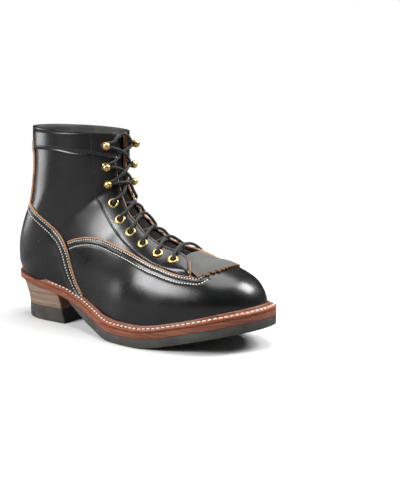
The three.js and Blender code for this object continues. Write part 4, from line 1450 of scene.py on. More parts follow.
    def build_counter(self) -> None:
        """Make the counter cover around the heel."""
        piece = LeatherPiece(self.last, "counter_leather", self.gap, self.outside, edge_round=0.0)
        closed = self.last.heel_row * self.last.rows_per_section
        seam_height = self.last.sole.seat_height + self.gap + self.counter_border[-1][1] * self.height
        seam_z = self.last.points[closed:, 0, 2]
        seam_row = float(np.interp(seam_height, seam_z, self.last.rows[closed:]))
        runs = []
        for side in Side:
            border = self._border(side, self.counter_border)
            end = np.array([(seam_row, 1.0 + side.value)])
            edge = self.last.path(np.concatenate([border, end]), self.step)
            st, distance = self._ruled(side, edge, self.counter_foot, 40, seamed=True)
            relief = self._seam_relief(distance) + self._lap(edge[None, :, 0], distance)
            piece.lay(st, relief, distance)
            runs += [(edge, row) for row in self.stitch_rows]
        bm = piece.close(lambda s, t: 0.002 < t < 1.998 or s > 12.5)
        add_piece(bm, "counter_leather", UPPER_FINISHES, ["counter_cover"])
        self._stitches("counter_stitches", runs, self.pale_pitch, PALE_THREAD,
                       lift=lambda st: self._lap(st[:, 0], np.zeros(len(st))))

    def build_band(self) -> None:
        """Make the collar band, with its lower edge turned and stitched."""
        piece = LeatherPiece(self.last, "band_leather", self.gap, self.outside, edge_round=0.5)
        edge = self.last.path(self.band_edge, self.step)
        near = (0.0, 0.4, 0.9, 1.5, 2.0, 2.5, 3.1, 4.0, 5.2, 7.0)
        lines = []
        for d in near:
            line = self.last.inset(edge, -d)
            line[-1] = (line[-1][0], 0.0)
            lines.append(line)
        rim_s = self.last.collar
        shares = np.concatenate([np.linspace(0, 0.8, 14)[1:], np.linspace(0.8, 1, 14)[1:]])
        rim = paired(float(rim_s), lines[-1][:, 1])
        lines += [lines[-1] + (rim - lines[-1]) * share for share in shares]
        st = np.array(lines)
        half = self.throat.half_width(st[:, 0, 0])
        shift = self.last.from_ridge(st[:, 0, 0], -half) - st[:, 0, 1]
        blend = (1 - smoothstep(np.arange(st.shape[1]), 0, 14))[None]
        st[..., 1] += shift[:, None] * blend
        to_edge = np.array([*near, *([FAR] * len(shares))])[:, None]
        to_rim = (rim_s - st[..., 0]) * 50.0
        relief = -0.4 * bell(to_edge - 2.0, 0.5) + 0.2 * bell(to_edge, 0.7) - 0.5 * bell(to_rim - 2.8, 0.7)
        relief = relief + self.last.groove(st, paired(np.linspace(13.6, 15, 60), 0.784), 0.6, 0.35)
        piece.lay(st, relief)
        piece.lay(mirrored(st), relief)
        bm = piece.close(lambda s, t: s < rim_s - self.rim_margin and abs(t - 1) < 0.08)
        add_piece(bm, "band_leather", UPPER_FINISHES, ["collar_band"])
        rim_line = paired(rim_s - 0.056, edge[:, 1])
        runs = [(side_line, d) for side_line in (edge, mirrored(edge)) for d in (-2.0, -4.6)]
        runs += [(side_line, 0.0) for side_line in (rim_line, mirrored(rim_line))]
        self._stitches("band_stitches", runs, 2.6, BLACK_THREAD, radius=0.5)

    def build_backstay(self) -> None:
        """Make the strip over the back seam, with a raw edge and a stitch row on each side."""
        piece = LeatherPiece(self.last, "backstay_leather", self.gap, self.outside, edge_round=0.0)
        rows = np.linspace(*self.backstay_rows, 66)
        half_width = monotone((12.5, 13.0, 13.6, 14.4, 14.8), (33.0, 31.6, 31.6, 32.6, 33.0))(rows)
        inner = np.array(self.near_rows[:8])
        across = np.concatenate([1 - inner / 24.0, np.linspace(0.85, 0, 16)])
        across = np.concatenate([across, -across[-2::-1]])
        girth = self.last.girth(rows, Side.LATERAL)
        t = across[None] * (half_width / girth)[:, None]
        distance = (1 - np.abs(across))[None] * half_width[:, None]
        over_band = self.band_step * smoothstep(rows, 14.5, 14.58)
        relief = -0.3 * bell(distance - self.backstay_seam, 0.6) + over_band[:, None]
        piece.lay(paired(rows[:, None], t), relief, distance)
        bm = piece.close(lambda s, t: True)
        add_piece(bm, "backstay_leather", UPPER_FINISHES, ["backstay"])
        share = (half_width - self.backstay_seam) / girth
        sewn = rows > self.backstay_sewn
        bm = bmesh.new()
        for sign in (-1, 1):
            line = paired(rows, sign * share)[sewn]
            sew(bm, self.last, line, self.outside + over_band[sewn], self.pale_pitch, 0.55)
        add_piece(bm, "backstay_stitches", (PALE_THREAD,))

    def build_facing_seams(self) -> None:
        """Sew the facings: a row along the throat and its front end, and one along the facing's back."""
        runs = []
        for line in (self._facing_seam(), self.last.path(self.facing_line, self.step)):
            runs += [(line, 0.0), (mirrored(line), 0.0)]

        def ground(st: Array) -> Array:
            """Offset of the leather under the stitches."""
            girth = 1 - np.abs(st[:, 1] - 1)
            band = np.interp(girth, (0.5, 0.78, 0.88, 0.945), (14.4, 13.68, 13.16, 12.86))
            return np.where(st[:, 0] > band, self.outside, self.throat.rise(st[:, 0], girth))

        self._stitches("facing_stitches", runs, 2.5, BLACK_THREAD, radius=0.5, base=-0.1, lift=ground)

    def _stitches(self, name: str, runs: Sequence[tuple[Array, float]], pitch: float, finish: Finish,
                  radius: float = 0.68, base: float | None = None,
                  lift: Callable[[Array], Array] | None = None) -> None:
        """Sew rows of stitches.

        Args:
            name: Name of the piece.
            runs: Lines on the last, each with how far inside it the row lies.
            pitch: Distance from stitch to stitch.
            finish: Finish of the thread.
            radius: Half the thread's thickness.
            base: Offset of the leather that they lie on, if not the overlays'.
            lift: Extra offset at each place, if any.
        """
        bm = bmesh.new()
        ground = self.outside - 0.15 if base is None else base
        for line, distance in runs:
            st = self.last.inset(line, distance) if distance else np.array(line[:, :2])
            extra = 0.0 if lift is None else lift(st)
            sew(bm, self.last, st, ground + extra, pitch, radius)
        add_piece(bm, name, (finish,))

    def build_tongue(self) -> None:
        """Make the tongue behind the throat."""
        piece = LeatherPiece(self.last, "tongue_leather_painted_shade", -self.wall - 3.8, -self.wall - 2.0, edge_round=0.4)
        rows = np.linspace(3.4, self.last.collar - 0.12, 116)[:, None]
        across = np.linspace(-1, 1, 33)[None]
        t = self.last.from_ridge(rows, (self.throat.spread(rows) + self.tongue_margin) * across)
        piece.lay(paired(rows, t), 0.25 * np.sin(rows * 3.1) * np.cos(across * 2.2))
        bm = piece.close(lambda s, t: True)
        # The tongue's grain and edge take painted shade, darker than the black leather.
        finishes = (TONGUE_PAINTED_SHADE, TONGUE_PAINTED_SHADE, LINING_PAINTED_LIGHT)
        add_piece(bm, "tongue_leather_painted_shade", finishes, ["tongue"])

    def build_kiltie(self) -> None:
        """Make the false tongue with its pinked front edge, from under the facings over the vamp."""
        rear, teeth, depth, points = 3.8, 13, 0.19, 10
        front = monotone((0, 0.309, 0.561, 0.735, 0.944, 1), (1.78, 1.81, 1.88, 2.06, 2.26, 2.46))
        spread = monotone((1.5, 2.4, 2.52, 2.72, 2.93, 3.1, 3.4, rear),
                          (0.41, 0.41, 0.408, 0.38, 0.35, 0.34, 0.3, 0.2))
        across = np.linspace(-1, 1, teeth * points + 1)
        down = np.concatenate([np.linspace(0, 0.88, 34), np.linspace(0.88, 1, 12)[1:]])
        phase = np.mod((across + 1) / 2 * teeth + 0.25, 1.0)
        notch = smoothstep(phase, 0.42, 0.52) * (1 - smoothstep(phase, 0.9, 1.0))
        ends = front(np.abs(across))[None] + depth * notch[None] * smoothstep(down, 0.86, 1.0)[:, None]
        s = rear + (ends - rear) * down[:, None]
        st = paired(s, 1 + across[None] * spread(s))
        base = self.outside + 0.3
        piece = LeatherPiece(self.last, "kiltie_leather", base, base + 1.9, edge_round=0.3)
        sink = -2.9 * smoothstep(s, 2.35, 3.35)
        curl = 0.7 * smoothstep(-s, -2.1, -1.8) * np.cos(across[None] * 1.5)
        piece.lay(st, sink + curl)
        bm = piece.close(lambda s, t: True)
        # The pinked edge takes the tan edge painted lighter, as painted light.
        finishes = (KILTIE_LEATHER, KILTIE_EDGE_PAINTED_LIGHT, KILTIE_LEATHER)
        add_piece(bm, "kiltie_leather", finishes, ["kiltie"])

    def build(self) -> None:
        """Make every piece of the upper."""
        for build in (self.build_upper, self.build_vamp, self.build_counter, self.build_band,
                      self.build_backstay, self.build_facing_seams, self.build_tongue, self.build_kiltie):
            build()


def sew(bm: bmesh.types.BMesh, last: Last, st: Array, offset: Array | float, pitch: float,
        radius: float) -> None:
    """Sew one row of stitches along a line on the last.

    Args:
        bm: Where the stitches are added.
        last: The last.
        st: Places of the line.
        offset: Distance of the stitches' middle outside the last.
        pitch: Distance from stitch to stitch.
        radius: Half the thread's thickness.
    """
    sew_line(bm, last.place(last.at(st, offset)), last.normal(st), pitch * MM, radius * MM)


def sew_line(bm: bmesh.types.BMesh, line: Array, normals: Array, pitch: float, radius: float) -> None:
    """Sew one row of stitches along points in the frame.

    Args:
        bm: Where the stitches are added.
        line: The points, in metres.
        normals: The leather's normals at the points.
        pitch: Distance from stitch to stitch, in metres.
        radius: Half the thread's thickness, in metres.
    """
    length = run_length(line)
    count = int(length[-1] / pitch)
    tangent = np.gradient(line, axis=0)
    for k in range(count):
        middle = (k + 0.5) * length[-1] / count
        spot, along, up = (
            Vector([np.interp(middle, length, values[:, axis]) for axis in range(3)])
            for values in (line, tangent, normals))
        along.normalize()
        side = up.cross(along).normalized()
        basis = Matrix((side, along.cross(side), along)).transposed().to_4x4()
        size = Matrix.Diagonal((radius, radius * 0.85, pitch * 0.36, 1.0))
        bmesh.ops.create_uvsphere(bm, u_segments=7, v_segments=6, radius=1.0,
                                  matrix=Matrix.Translation(spot) @ basis @ size)


@dataclass
class WeltedSole:
    """Welt, midsole, insole and rubber outsole."""

    sole: Sole
    last: Last
    welt_start: float = 0.148
    rubber_start: float = 0.3
    skive: float = 0.9
    welt_skive: float = 16.0
    waist_skive: float = 34.5
    ridge_height: float = 2.8
    ridge_thickness: float = 2.2
    overlay: float = 2.15
    end_trim: float = 0.02
    insole: float = 3.2
    insole_inset: float = 13.5
    insole_ends: tuple[float, float] = (8.0, 15.0)
    stitch_row: float = 2.3
    stitch_pitch: float = 5.1
    stitch_radius: float = 1.05
    stations: int = 240
    across: int = 12
    # distance from the outer edge or, where negative and in the last two corners, from the foot; then
    # height in plates and in ridges
    welt_section: tuple[tuple[float, float, float], ...] = (
        (0.0, 0.0, 0.0), (0.0, 0.8, 0.0), (0.25, 0.95, 0.0), (0.7, 1.0, 0.0), (1.7, 0.98, 0.0),
        (2.3, 0.86, 0.0), (2.9, 0.98, 0.0), (-2.9, 1.0, 0.0), (-2.35, 1.02, 0.1), (-2.15, 1.0, 0.6),
        (-1.9, 1.0, 0.92), (-1.3, 1.0, 1.0), (-0.5, 1.0, 0.98), (-0.1, 1.0, 0.8), (0.05, 0.5, 0.0),
        (0.05, 0.0, 0.0))

    def _plate(self, start: float, end: float, top: Callable[[Array], Array],
               bottom: Callable[[Array], Array], rounding: float, inset: float = 0.0) -> bmesh.types.BMesh:
        """Make a plate of the sole.

        Args:
            start: Where it starts along the sole.
            end: Where it ends.
            top: Height of its top.
            bottom: Height of its underside.
            rounding: Radius of its edges.
            inset: How far it lies inside the outline.

        Returns:
            The plate's mesh, in metres.
        """
        even = np.linspace(0, 1, self.stations + 1)
        eased = (1 - np.cos(even * math.pi)) / 2
        x = start + (end - start) * (0.25 * even + 0.75 * eased)
        lateral, medial = self.sole.edge(x, Side.LATERAL, inset), self.sole.edge(x, Side.MEDIAL, inset)
        share = np.linspace(0, 1, self.across + 1)
        y = lateral[:, None] + (medial - lateral)[:, None] * share[None]
        grid_x = np.repeat(x[:, None], self.across + 1, axis=1)
        points = self.last.place(np.stack([grid_x, y, top(grid_x)], axis=2))
        bm = bmesh.new()
        laid_grid(bm, points)
        bmesh.ops.remove_doubles(bm, verts=bm.verts, dist=0.01 * MM)
        lower = doubled(bm)
        heights = bottom(np.array([v.co.x for v in lower]) / MM - self.last.origin.x)
        for vert, z in zip(lower, heights):
            vert.co.z = (z + self.last.origin.z) * MM
        bmesh.ops.recalc_face_normals(bm, faces=bm.faces[:])
        sharp = [e for e in bm.edges if len(e.link_faces) == 2 and e.calc_face_angle(0.0) > 1.0]
        round_off(bm, sharp, rounding, 3)
        return bm

    def build_midsole(self) -> None:
        """Make the leather midsole."""
        bm = self._plate(self.end_trim, self.sole.length - self.end_trim, self.sole.top,
                         lambda x: self.sole.top(x) - self.sole.midsole, 0.5)
        add_piece(bm, "midsole_leather", (SOLE_LEATHER,), ["midsole"])

    def build_outsole(self) -> None:
        """Make the rubber half sole, thin at the waist and full under the ball."""
        start = self.rubber_start * self.sole.length

        def top(x: Array) -> Array:
            """Height of its top."""
            return self.sole.top(x) - self.sole.midsole - self.sole.gap

        def bottom(x: Array) -> Array:
            """Height of its underside."""
            run = np.clip((x - start) / self.waist_skive, 0, 1)
            return top(x) - self.skive - (self.sole.rubber - self.skive) * np.sin(run * math.pi / 2)

        bm = self._plate(start, self.sole.length - self.end_trim, top, bottom, 0.7)
        add_piece(bm, "rubber_outsole", (RUBBER,), ["outsole"])

    def build_insole(self) -> None:
        """Make the insole inside the foot."""
        def bottom(x: Array) -> Array:
            """Height of its underside."""
            return self.sole.top(x) + self.sole.gap

        heel, toe = self.insole_ends
        bm = self._plate(heel, self.sole.length - toe, lambda x: bottom(x) + self.insole, bottom, 0.4,
                         inset=self.insole_inset)
        add_piece(bm, "insole_leather", (INSOLE_LEATHER,), ["insole"])

    def _foot_line(self) -> Array:
        """Foot of the overlays, from the lateral heel round the toe to the medial heel.

        Returns:
            Points of the line, at the welt's inner edge.
        """
        rows = np.linspace(9.4, 0.0, 500)
        sides = []
        for t in (0.0, 2.0):
            st = paired(rows, t)
            level = unit(self.last.normal(st) * [1, 1, 0])
            sides.append(self.last.lookup(st) + level * self.overlay)
        return np.concatenate([sides[0], sides[1][::-1]])

    def _welt_lines(self) -> tuple[Array, Array, Array]:
        """Pair the outline with the foot of the upper.

        Returns:
            Points of the outline, the nearest points of the foot, and the skive's share at each.
        """
        start, end = self.welt_start * self.sole.length, self.sole.length
        turn = np.linspace(0, math.pi / 2, 230)
        x = start + (end - start) * np.sin(turn)
        x[-1] = end
        outline = np.concatenate([
            np.stack([x, self.sole.edge(x, Side.LATERAL)], axis=1),
            np.stack([x, self.sole.edge(x, Side.MEDIAL)], axis=1)[-2::-1]])
        outline = evened(outline, 420)
        foot = self._foot_line()[:, :2]
        nearest = np.array([foot[np.argmin(((foot - spot) ** 2).sum(1))] for spot in outline])
        nearest = self.last.averaged(nearest, 4)
        skive = smoothstep(outline[:, 0], start - 1, start + self.welt_skive)
        return outline, nearest, skive

    def build_welt(self) -> None:
        """Make the welt with its storm ridge and its stitches."""
        outline, foot, skive = self._welt_lines()
        span = np.linalg.norm(foot - outline, axis=1)
        inward = (foot - outline) / span[:, None]
        base = self.sole.top(outline[:, 0]) + self.sole.gap
        plate = self.skive + (self.sole.welt - self.skive) * skive
        ridge = self.ridge_height * skive
        loops = []
        for index, (away, plates, ridges) in enumerate(self.welt_section):
            from_foot = away < 0 or index >= len(self.welt_section) - 2
            reach = span + away if from_foot else np.minimum(away, span * 0.6)
            height = base + plate * plates + ridge * ridges
            loops.append(np.concatenate([outline + inward * reach[:, None], height[:, None]], axis=1))
        points = np.array([*loops, loops[0]])
        bm = bmesh.new()
        laid_grid(bm, self.last.place(points))
        bmesh.ops.remove_doubles(bm, verts=bm.verts, dist=0.005 * MM)
        bmesh.ops.holes_fill(bm, edges=[e for e in bm.edges if e.is_boundary], sides=40)
        bmesh.ops.recalc_face_normals(bm, faces=bm.faces[:])
        for face in bm.faces:
            spot = np.array(face.calc_center_median())[:2] / MM - np.array(self.last.origin)[:2]
            near = np.sqrt(((foot - spot) ** 2).sum(1).min())
            face.material_index = 1 if near < self.ridge_thickness + 0.35 else 0
        add_piece(bm, "welt_leather", (WELT_LEATHER, STORM_LEATHER), ["welt"])
        stitches = bmesh.new()
        height = base + plate * 0.86 + 0.65
        seam = np.concatenate([outline + inward * self.stitch_row, height[:, None]], axis=1)
        usable = slice(6, len(seam) - 6)
        normals = np.repeat([[0.0, 0.0, 1.0]], len(seam), axis=0)
        line = self.last.place(seam[usable])
        sew_line(stitches, line, normals[usable], self.stitch_pitch * MM, self.stitch_radius * MM)
        add_piece(stitches, "welt_stitches", (PALE_THREAD,))

    def build(self) -> None:
        """Make every piece of the sole."""
        self.build_midsole()
        self.build_outsole()
        self.build_insole()
        self.build_welt()


@dataclass
class Heel:
    """The stacked heel, undershot at the back, with a rubber cap."""

    sole: Sole
    last: Last
    cap: float = 14.2
    length: float = 66.5
    width: float = 65.0
    back_inset: float = 12.6
    breast_rake: float = 8.5
    lift: float = 6.4
    groove: float = 0.14
    groove_reach: float = 0.3
    back_depth: float = 0.61
    back_power: float = 2.2
    corner: float = 1.2
    corner_cut: float = 0.35
    ring_points: int = 120
    # share of the seat height; shares of the back's inset, of the breast's rake and of the width
    shape: tuple[tuple[float, float, float, float], ...] = (
        (0, 1, 1, 1), (0.29, 0.985, 0.58, 1.005), (0.41, 0.94, 0.42, 1.01), (0.55, 0.8, 0.2, 1.025),
        (0.67, 0.63, 0.04, 1.04), (0.82, 0.42, 0, 1.055), (0.96, 0.2, 0, 1.07))

    def _ring(self, z: float, shrink: float = 0.0) -> Array:
        """Draw the heel's outline at a height.

        Args:
            z: Height over the floor.
            shrink: How far the outline is drawn in.

        Returns:
            Points round the heel.
        """
        heights, inset, rake, width = (np.array(column) for column in zip(*self.shape))
        share = z / self.sole.seat_height
        back = self.back_inset * float(monotone(heights, inset)(share)) + shrink
        raked = self.breast_rake * (1 - float(monotone(heights, rake)(share)))
        breast = self.back_inset + self.length - raked - shrink
        half = self.width / 2 * float(monotone(heights, width)(share)) - shrink
        angle = np.linspace(-math.pi / 2, math.pi / 2, self.ring_points)
        run = self.back_depth * self.width * (1 - np.abs(np.cos(angle)) ** (2 / self.back_power))
        out = half * np.sign(np.sin(angle)) * np.abs(np.sin(angle)) ** (2 / self.back_power)
        curve = np.stack([back + run, out], axis=1)
        side = np.linspace(curve[-1, 0], breast - self.corner, 24)[1:]
        cut_x, cut_y = breast - self.corner_cut, half - self.corner_cut
        front = np.linspace(half - self.corner, -half + self.corner, 30)
        ring = np.concatenate([
            curve, paired(side, half), [(cut_x, cut_y)], paired(breast, front), [(cut_x, -cut_y)],
            paired(side[::-1], -half)])
        return np.concatenate([ring, np.full((len(ring), 1), z)], axis=1)

    def _loft(self, rings: list[Array], ceiling: bool) -> bmesh.types.BMesh:
        """Loft rings into a closed solid.

        Args:
            rings: The rings, from the bottom up.
            ceiling: Whether the solid stops under the midsole.

        Returns:
            The mesh, in metres.
        """
        points = np.array([np.concatenate([ring, ring[:1]]) for ring in rings])
        if ceiling:
            roof = self.sole.top(np.maximum(points[..., 0], 0)) - self.sole.midsole - self.sole.gap
            points[..., 2] = np.minimum(points[..., 2], roof)
        bm = bmesh.new()
        laid_grid(bm, self.last.place(points))
        bmesh.ops.remove_doubles(bm, verts=bm.verts, dist=0.01 * MM)
        bmesh.ops.holes_fill(bm, edges=[e for e in bm.edges if e.is_boundary], sides=0)
        bmesh.ops.recalc_face_normals(bm, faces=bm.faces[:])
        return bm

    def build_stack(self) -> None:
        """Make the leather lifts with a fine line between each two."""
        low = self.cap + self.sole.gap
        reach = self.groove_reach
        rings = [self._ring(low, reach), self._ring(low + reach)]
        z = low + self.lift
        while z < self.sole.seat_height:
            rings += [self._ring(z - reach), self._ring(z, self.groove), self._ring(z + reach)]
            rings += [self._ring(z + self.lift / 2)]
            z += self.lift
        bm = self._loft(rings, ceiling=True)
        breast = (self.back_inset + self.length - self.breast_rake - 2 + self.last.origin.x) * MM
        # Faces of the breast take painted shade: a near-black finish for the shadow under the arch.
        for face in bm.faces:
            face.material_index = int(face.normal.x > 0.8 and face.calc_center_median().x > breast)
        add_piece(bm, "heel_lifts", (HEEL_LEATHER, BREAST_PAINTED_SHADE), ["heel_stack"])

    def build_cap(self) -> None:
        """Make the rubber top piece."""
        heights = (0.0, 0.25, 0.8, 4.0, 8.0, 12.0, self.cap - 0.5, self.cap - 0.1, self.cap)
        shrinks = (0.8, 0.25, 0.0, 0.0, 0.0, 0.0, 0.0, 0.15, 0.5)
        rings = [self._ring(z, shrink) for z, shrink in zip(heights, shrinks)]
        add_piece(self._loft(rings, ceiling=False), "rubber_heel_cap", (RUBBER,), ["heel_cap"])

    def build(self) -> None:
        """Make both pieces of the heel."""
        self.build_stack()
        self.build_cap()


@dataclass
class Hardware:
    """Brass eyelets and ball hooks along the throat."""

    last: Last
    throat: Throat
    eyelet_outer: float = 5.2
    eyelet_hole: float = 2.7
    hook_ball: float = 3.9
    hook_height: float = 6.2
    hook_base: float = 3.7
    hook_stem: float = 1.7
    turns: int = 40

    def _spun(self, profile: Sequence[tuple[float, float]], closed: bool) -> bmesh.types.BMesh:
        """Spin a profile round its axis.

        Args:
            profile: Radius and height of each corner, in millimetres.
            closed: Whether the profile closes on itself.

        Returns:
            The mesh, standing on the origin.
        """
        bm = bmesh.new()
        verts = [bm.verts.new((r * MM, 0.0, z * MM)) for r, z in profile]
        pairs = list(zip(verts, verts[1:])) + ([(verts[-1], verts[0])] if closed else [])
        edges = [bm.edges.new(pair) for pair in pairs]
        bmesh.ops.spin(bm, geom=verts + edges, cent=(0, 0, 0), axis=(0, 0, 1), angle=2 * math.pi,
                       steps=self.turns, use_merge=True)
        bmesh.ops.remove_doubles(bm, verts=bm.verts, dist=0.001 * MM)
        bmesh.ops.recalc_face_normals(bm, faces=bm.faces[:])
        return bm

    def _stand(self, bm: bmesh.types.BMesh, index: int, side: Side, offset: float) -> None:
        """Stand a spun piece on the leather.

        Args:
            bm: The piece, standing on the origin, which is moved.
            index: Its station along the throat.
            side: Which side.
            offset: Distance of its foot outside the leather.
        """
        st = np.array(self.throat.station(index, side))
        lift = offset + float(self.throat.rise(st[0], 1 - abs(st[1] - 1)))
        spot = Vector(self.last.place(self.last.at(st, lift)))
        turn = Vector((0, 0, 1)).rotation_difference(Vector(self.last.normal(st)))
        bmesh.ops.transform(bm, matrix=Matrix.Translation(spot) @ turn.to_matrix().to_4x4(), verts=bm.verts)

    def eyelet_profile(self) -> list[tuple[float, float]]:
        """Draw an eyelet's section: a rolled face, a barrel through the leather and a washer inside.

        Returns:
            Radius and height of each corner, in millimetres.
        """
        outer, hole = self.eyelet_outer, self.eyelet_hole
        middle, tube = (outer + hole) / 2, (outer - hole) / 2
        turn = np.linspace(0, math.pi, 9)
        face = [(middle + tube * math.cos(a), 0.15 + 1.05 * math.sin(a)) for a in turn]
        barrel = [(hole, -1.4), (hole, -3.2)]
        washer = [(hole + 0.4, -3.5), (outer - 0.8, -3.3), (outer - 0.6, -3.0), (hole + 0.5, -2.7),
                  (hole + 0.5, -0.3), (outer - 0.3, -0.1)]
        return face + barrel + washer

    def hook_profile(self) -> list[tuple[float, float]]:
        """Draw a ball hook's section: a domed base, a waisted stem and a ball with a small dimple.

        Returns:
            Radius and height of each corner, in millimetres.
        """
        base = [(0.0, 0.0), (self.hook_base, 0.0), (self.hook_base + 0.15, 0.3), (self.hook_base - 0.3, 0.8),
                (self.hook_stem + 0.5, 1.3), (self.hook_stem, 1.9)]
        start = math.asin(self.hook_stem / self.hook_ball)
        ball = [(self.hook_ball * math.sin(a), self.hook_height - self.hook_ball * math.cos(a))
                for a in np.linspace(start, math.pi * 0.93, 16)]
        top = self.hook_height + self.hook_ball
        dimple = [(0.55, top - 0.12), (0.3, top - 0.4), (0.0, top - 0.5)]
        return base + ball + dimple

    def build(self) -> None:
        """Stand the eyelets and hooks on both sides."""
        for side in Side:
            for index in range(6):
                bm = self._spun(self.eyelet_profile(), closed=True)
                self._stand(bm, index, side, 0.25)
                self._add(bm, f"eyelet_{side.name.lower()}_{index + 1}")
            for index in range(3):
                bm = self._spun(self.hook_profile(), closed=False)
                self._stand(bm, index + 6, side, self.throat.band_lift + 0.1 if index == 2 else 0.15)
                self._add(bm, f"hook_{side.name.lower()}_{index + 1}")

    def _add(self, bm: bmesh.types.BMesh, node: str) -> None:
        """Turn a brass mesh into the piece that stands for a node."""
        add_piece(bm, f"brass_{node}", (BRASS,), [node])


@dataclass
class Lace:
    """One round lace, from the bar at the lowest eyelets up to the top hooks on both sides."""

    last: Last
    throat: Throat
    diameter: float = 3.1

    def _at(self, s: float, away: float, lift: float) -> Array:
        """Find a point of the lace over the leather.

        Args:
            s: Section row.
            away: Distance from the ridge, negative on the lateral side.
            lift: Height over the last, or over the facing where the point lies on it.

        Returns:
            The point in the boot's own frame.
        """
        girth = float(self.last.from_ridge(s, away))
        on_facing = abs(away) >= float(self.throat.half_width(np.array(s))) - 0.2 and lift > -2.0
        rise = float(self.throat.rise(np.array(s), np.array(1 - abs(girth - 1)))) if on_facing else 0.0
        return self.last.at(np.array([s, girth]), lift + rise)

    def _strand(self, start: Side, over: float) -> list[Array]:
        """Route one half of the lace.

        Args:
            start: The side of the lowest eyelet that it starts from.
            over: How much higher this half crosses than the other.

        Returns:
            Points from the middle of the bar to the hidden end.
        """
        rows = (*self.throat.eyelet_rows, *self.throat.hook_rows)
        width = [float(self.throat.half_width(np.array(s))) for s in rows]
        hole = [w + self.throat.inset for w in width]
        side = start.value
        points = [self._at(rows[0] + 0.3, 0.0, 3.4), self._at(rows[0] + 0.22, side * width[0] * 0.7, 4.4),
                  self._at(rows[0] + 0.15, side * (width[0] + 2.5), 2.5),
                  self._at(rows[0] + 0.04, side * (hole[0] - 2.6), 2.5),
                  self._at(rows[0], side * hole[0], 0.0), self._at(rows[0], side * hole[0], -1.9)]
        for i in range(1, 6):
            rise = rows[i] - rows[i - 1]
            level = rows[i - 1]
            if i == 1:
                points += [self._at(level + 0.3 * rise, side * (width[i - 1] + 2), -4.6),
                           self._at(level + 0.5 * rise, 0.0, -3.0 + over)]
            side = -side
            points += [self._at(level + 0.8 * rise, side * (width[i] + 3), -4.4),
                       self._at(rows[i], side * (hole[i] - 0.6), -3.9),
                       self._at(rows[i], side * hole[i], 0.0),
                       self._at(rows[i] + 0.05, side * (hole[i] - 1.9), 2.7),
                       self._at(rows[i] + 0.13, side * (width[i] + 3.6), 2.1),
                       self._at(rows[i] + 0.22, side * (width[i] - 0.8), 1.7)]
            if i < 5:
                step = rows[i + 1] - rows[i]
                points += [self._at(rows[i] + 0.45 * step, 0.0, -0.3 + over),
                           self._at(rows[i] + 0.62 * step, -side * (width[i] - 2), -3.2)]
        for i in range(6, 9):
            step = rows[i] - rows[i - 1]
            other = -side
            low = rows[i]
            reach = width[i] + self.throat.inset
            top = self.throat.band_lift if i == 8 else 0.0
            points += [self._at(rows[i - 1] + 0.5 * step, 0.0, 1.2 + over),
                       self._at(low - 0.2 * step, other * (width[i] + 2.5), 2.0 + top),
                       self._at(low - 0.13, other * (reach - 2.6), 2.3 + top),
                       self._at(low - 0.09, other * (reach + 2.0), 2.4 + top),
                       self._at(low + 0.05, other * (reach + 3.3), 2.4 + top),
                       self._at(low + 0.15, other * (reach - 0.2), 2.4 + top),
                       self._at(low + 0.19, other * (width[i] + 4.5), 2.3 + top)]
            side = other
        top = self.last.collar
        points += [self._at(rows[8] + 0.42, side * (width[8] + 1.0), 3.6),
                   self._at(top - 0.16, side * (width[8] - 2.5), 0.8), self._at(top - 0.25, side * 2.0, -2.6),
                   self._at(top - 0.4, -side * 1.0, -2.7)]
        return points

    def build(self) -> None:
        """Lay the lace as a round tube with its cord finish."""
        one = self._strand(Side.LATERAL, 1.8)
        other = self._strand(Side.MEDIAL, -1.5)
        route = spline(np.array([*reversed(one), *other[1:]]), 1500)
        curve = bpy.data.curves.new("lace_route", "CURVE")
        curve.dimensions = "3D"
        curve.bevel_depth = self.diameter / 2 * MM
        curve.bevel_resolution = 3
        curve.use_fill_caps = True
        line = curve.splines.new("POLY")
        line.points.add(len(route) - 1)
        for point, co in zip(line.points, self.last.place(route)):
            point.co = (*co, 1.0)
        holder = bpy.data.objects.new("lace_route", curve)
        bm = bmesh.new()
        bm.from_mesh(holder.to_mesh())
        holder.to_mesh_clear()
        bpy.data.objects.remove(holder)
        bmesh.ops.remove_doubles(bm, verts=bm.verts, dist=0.001 * MM)
        bmesh.ops.recalc_face_normals(bm, faces=bm.faces[:])
        add_piece(bm, "round_lace", (LACE_CORD,), ["laces"])


@dataclass(frozen=True)
class Softbox:
    """A studio softbox."""

    name: str
    place: tuple[float, float, float]
    size: tuple[float, float]
    power: float


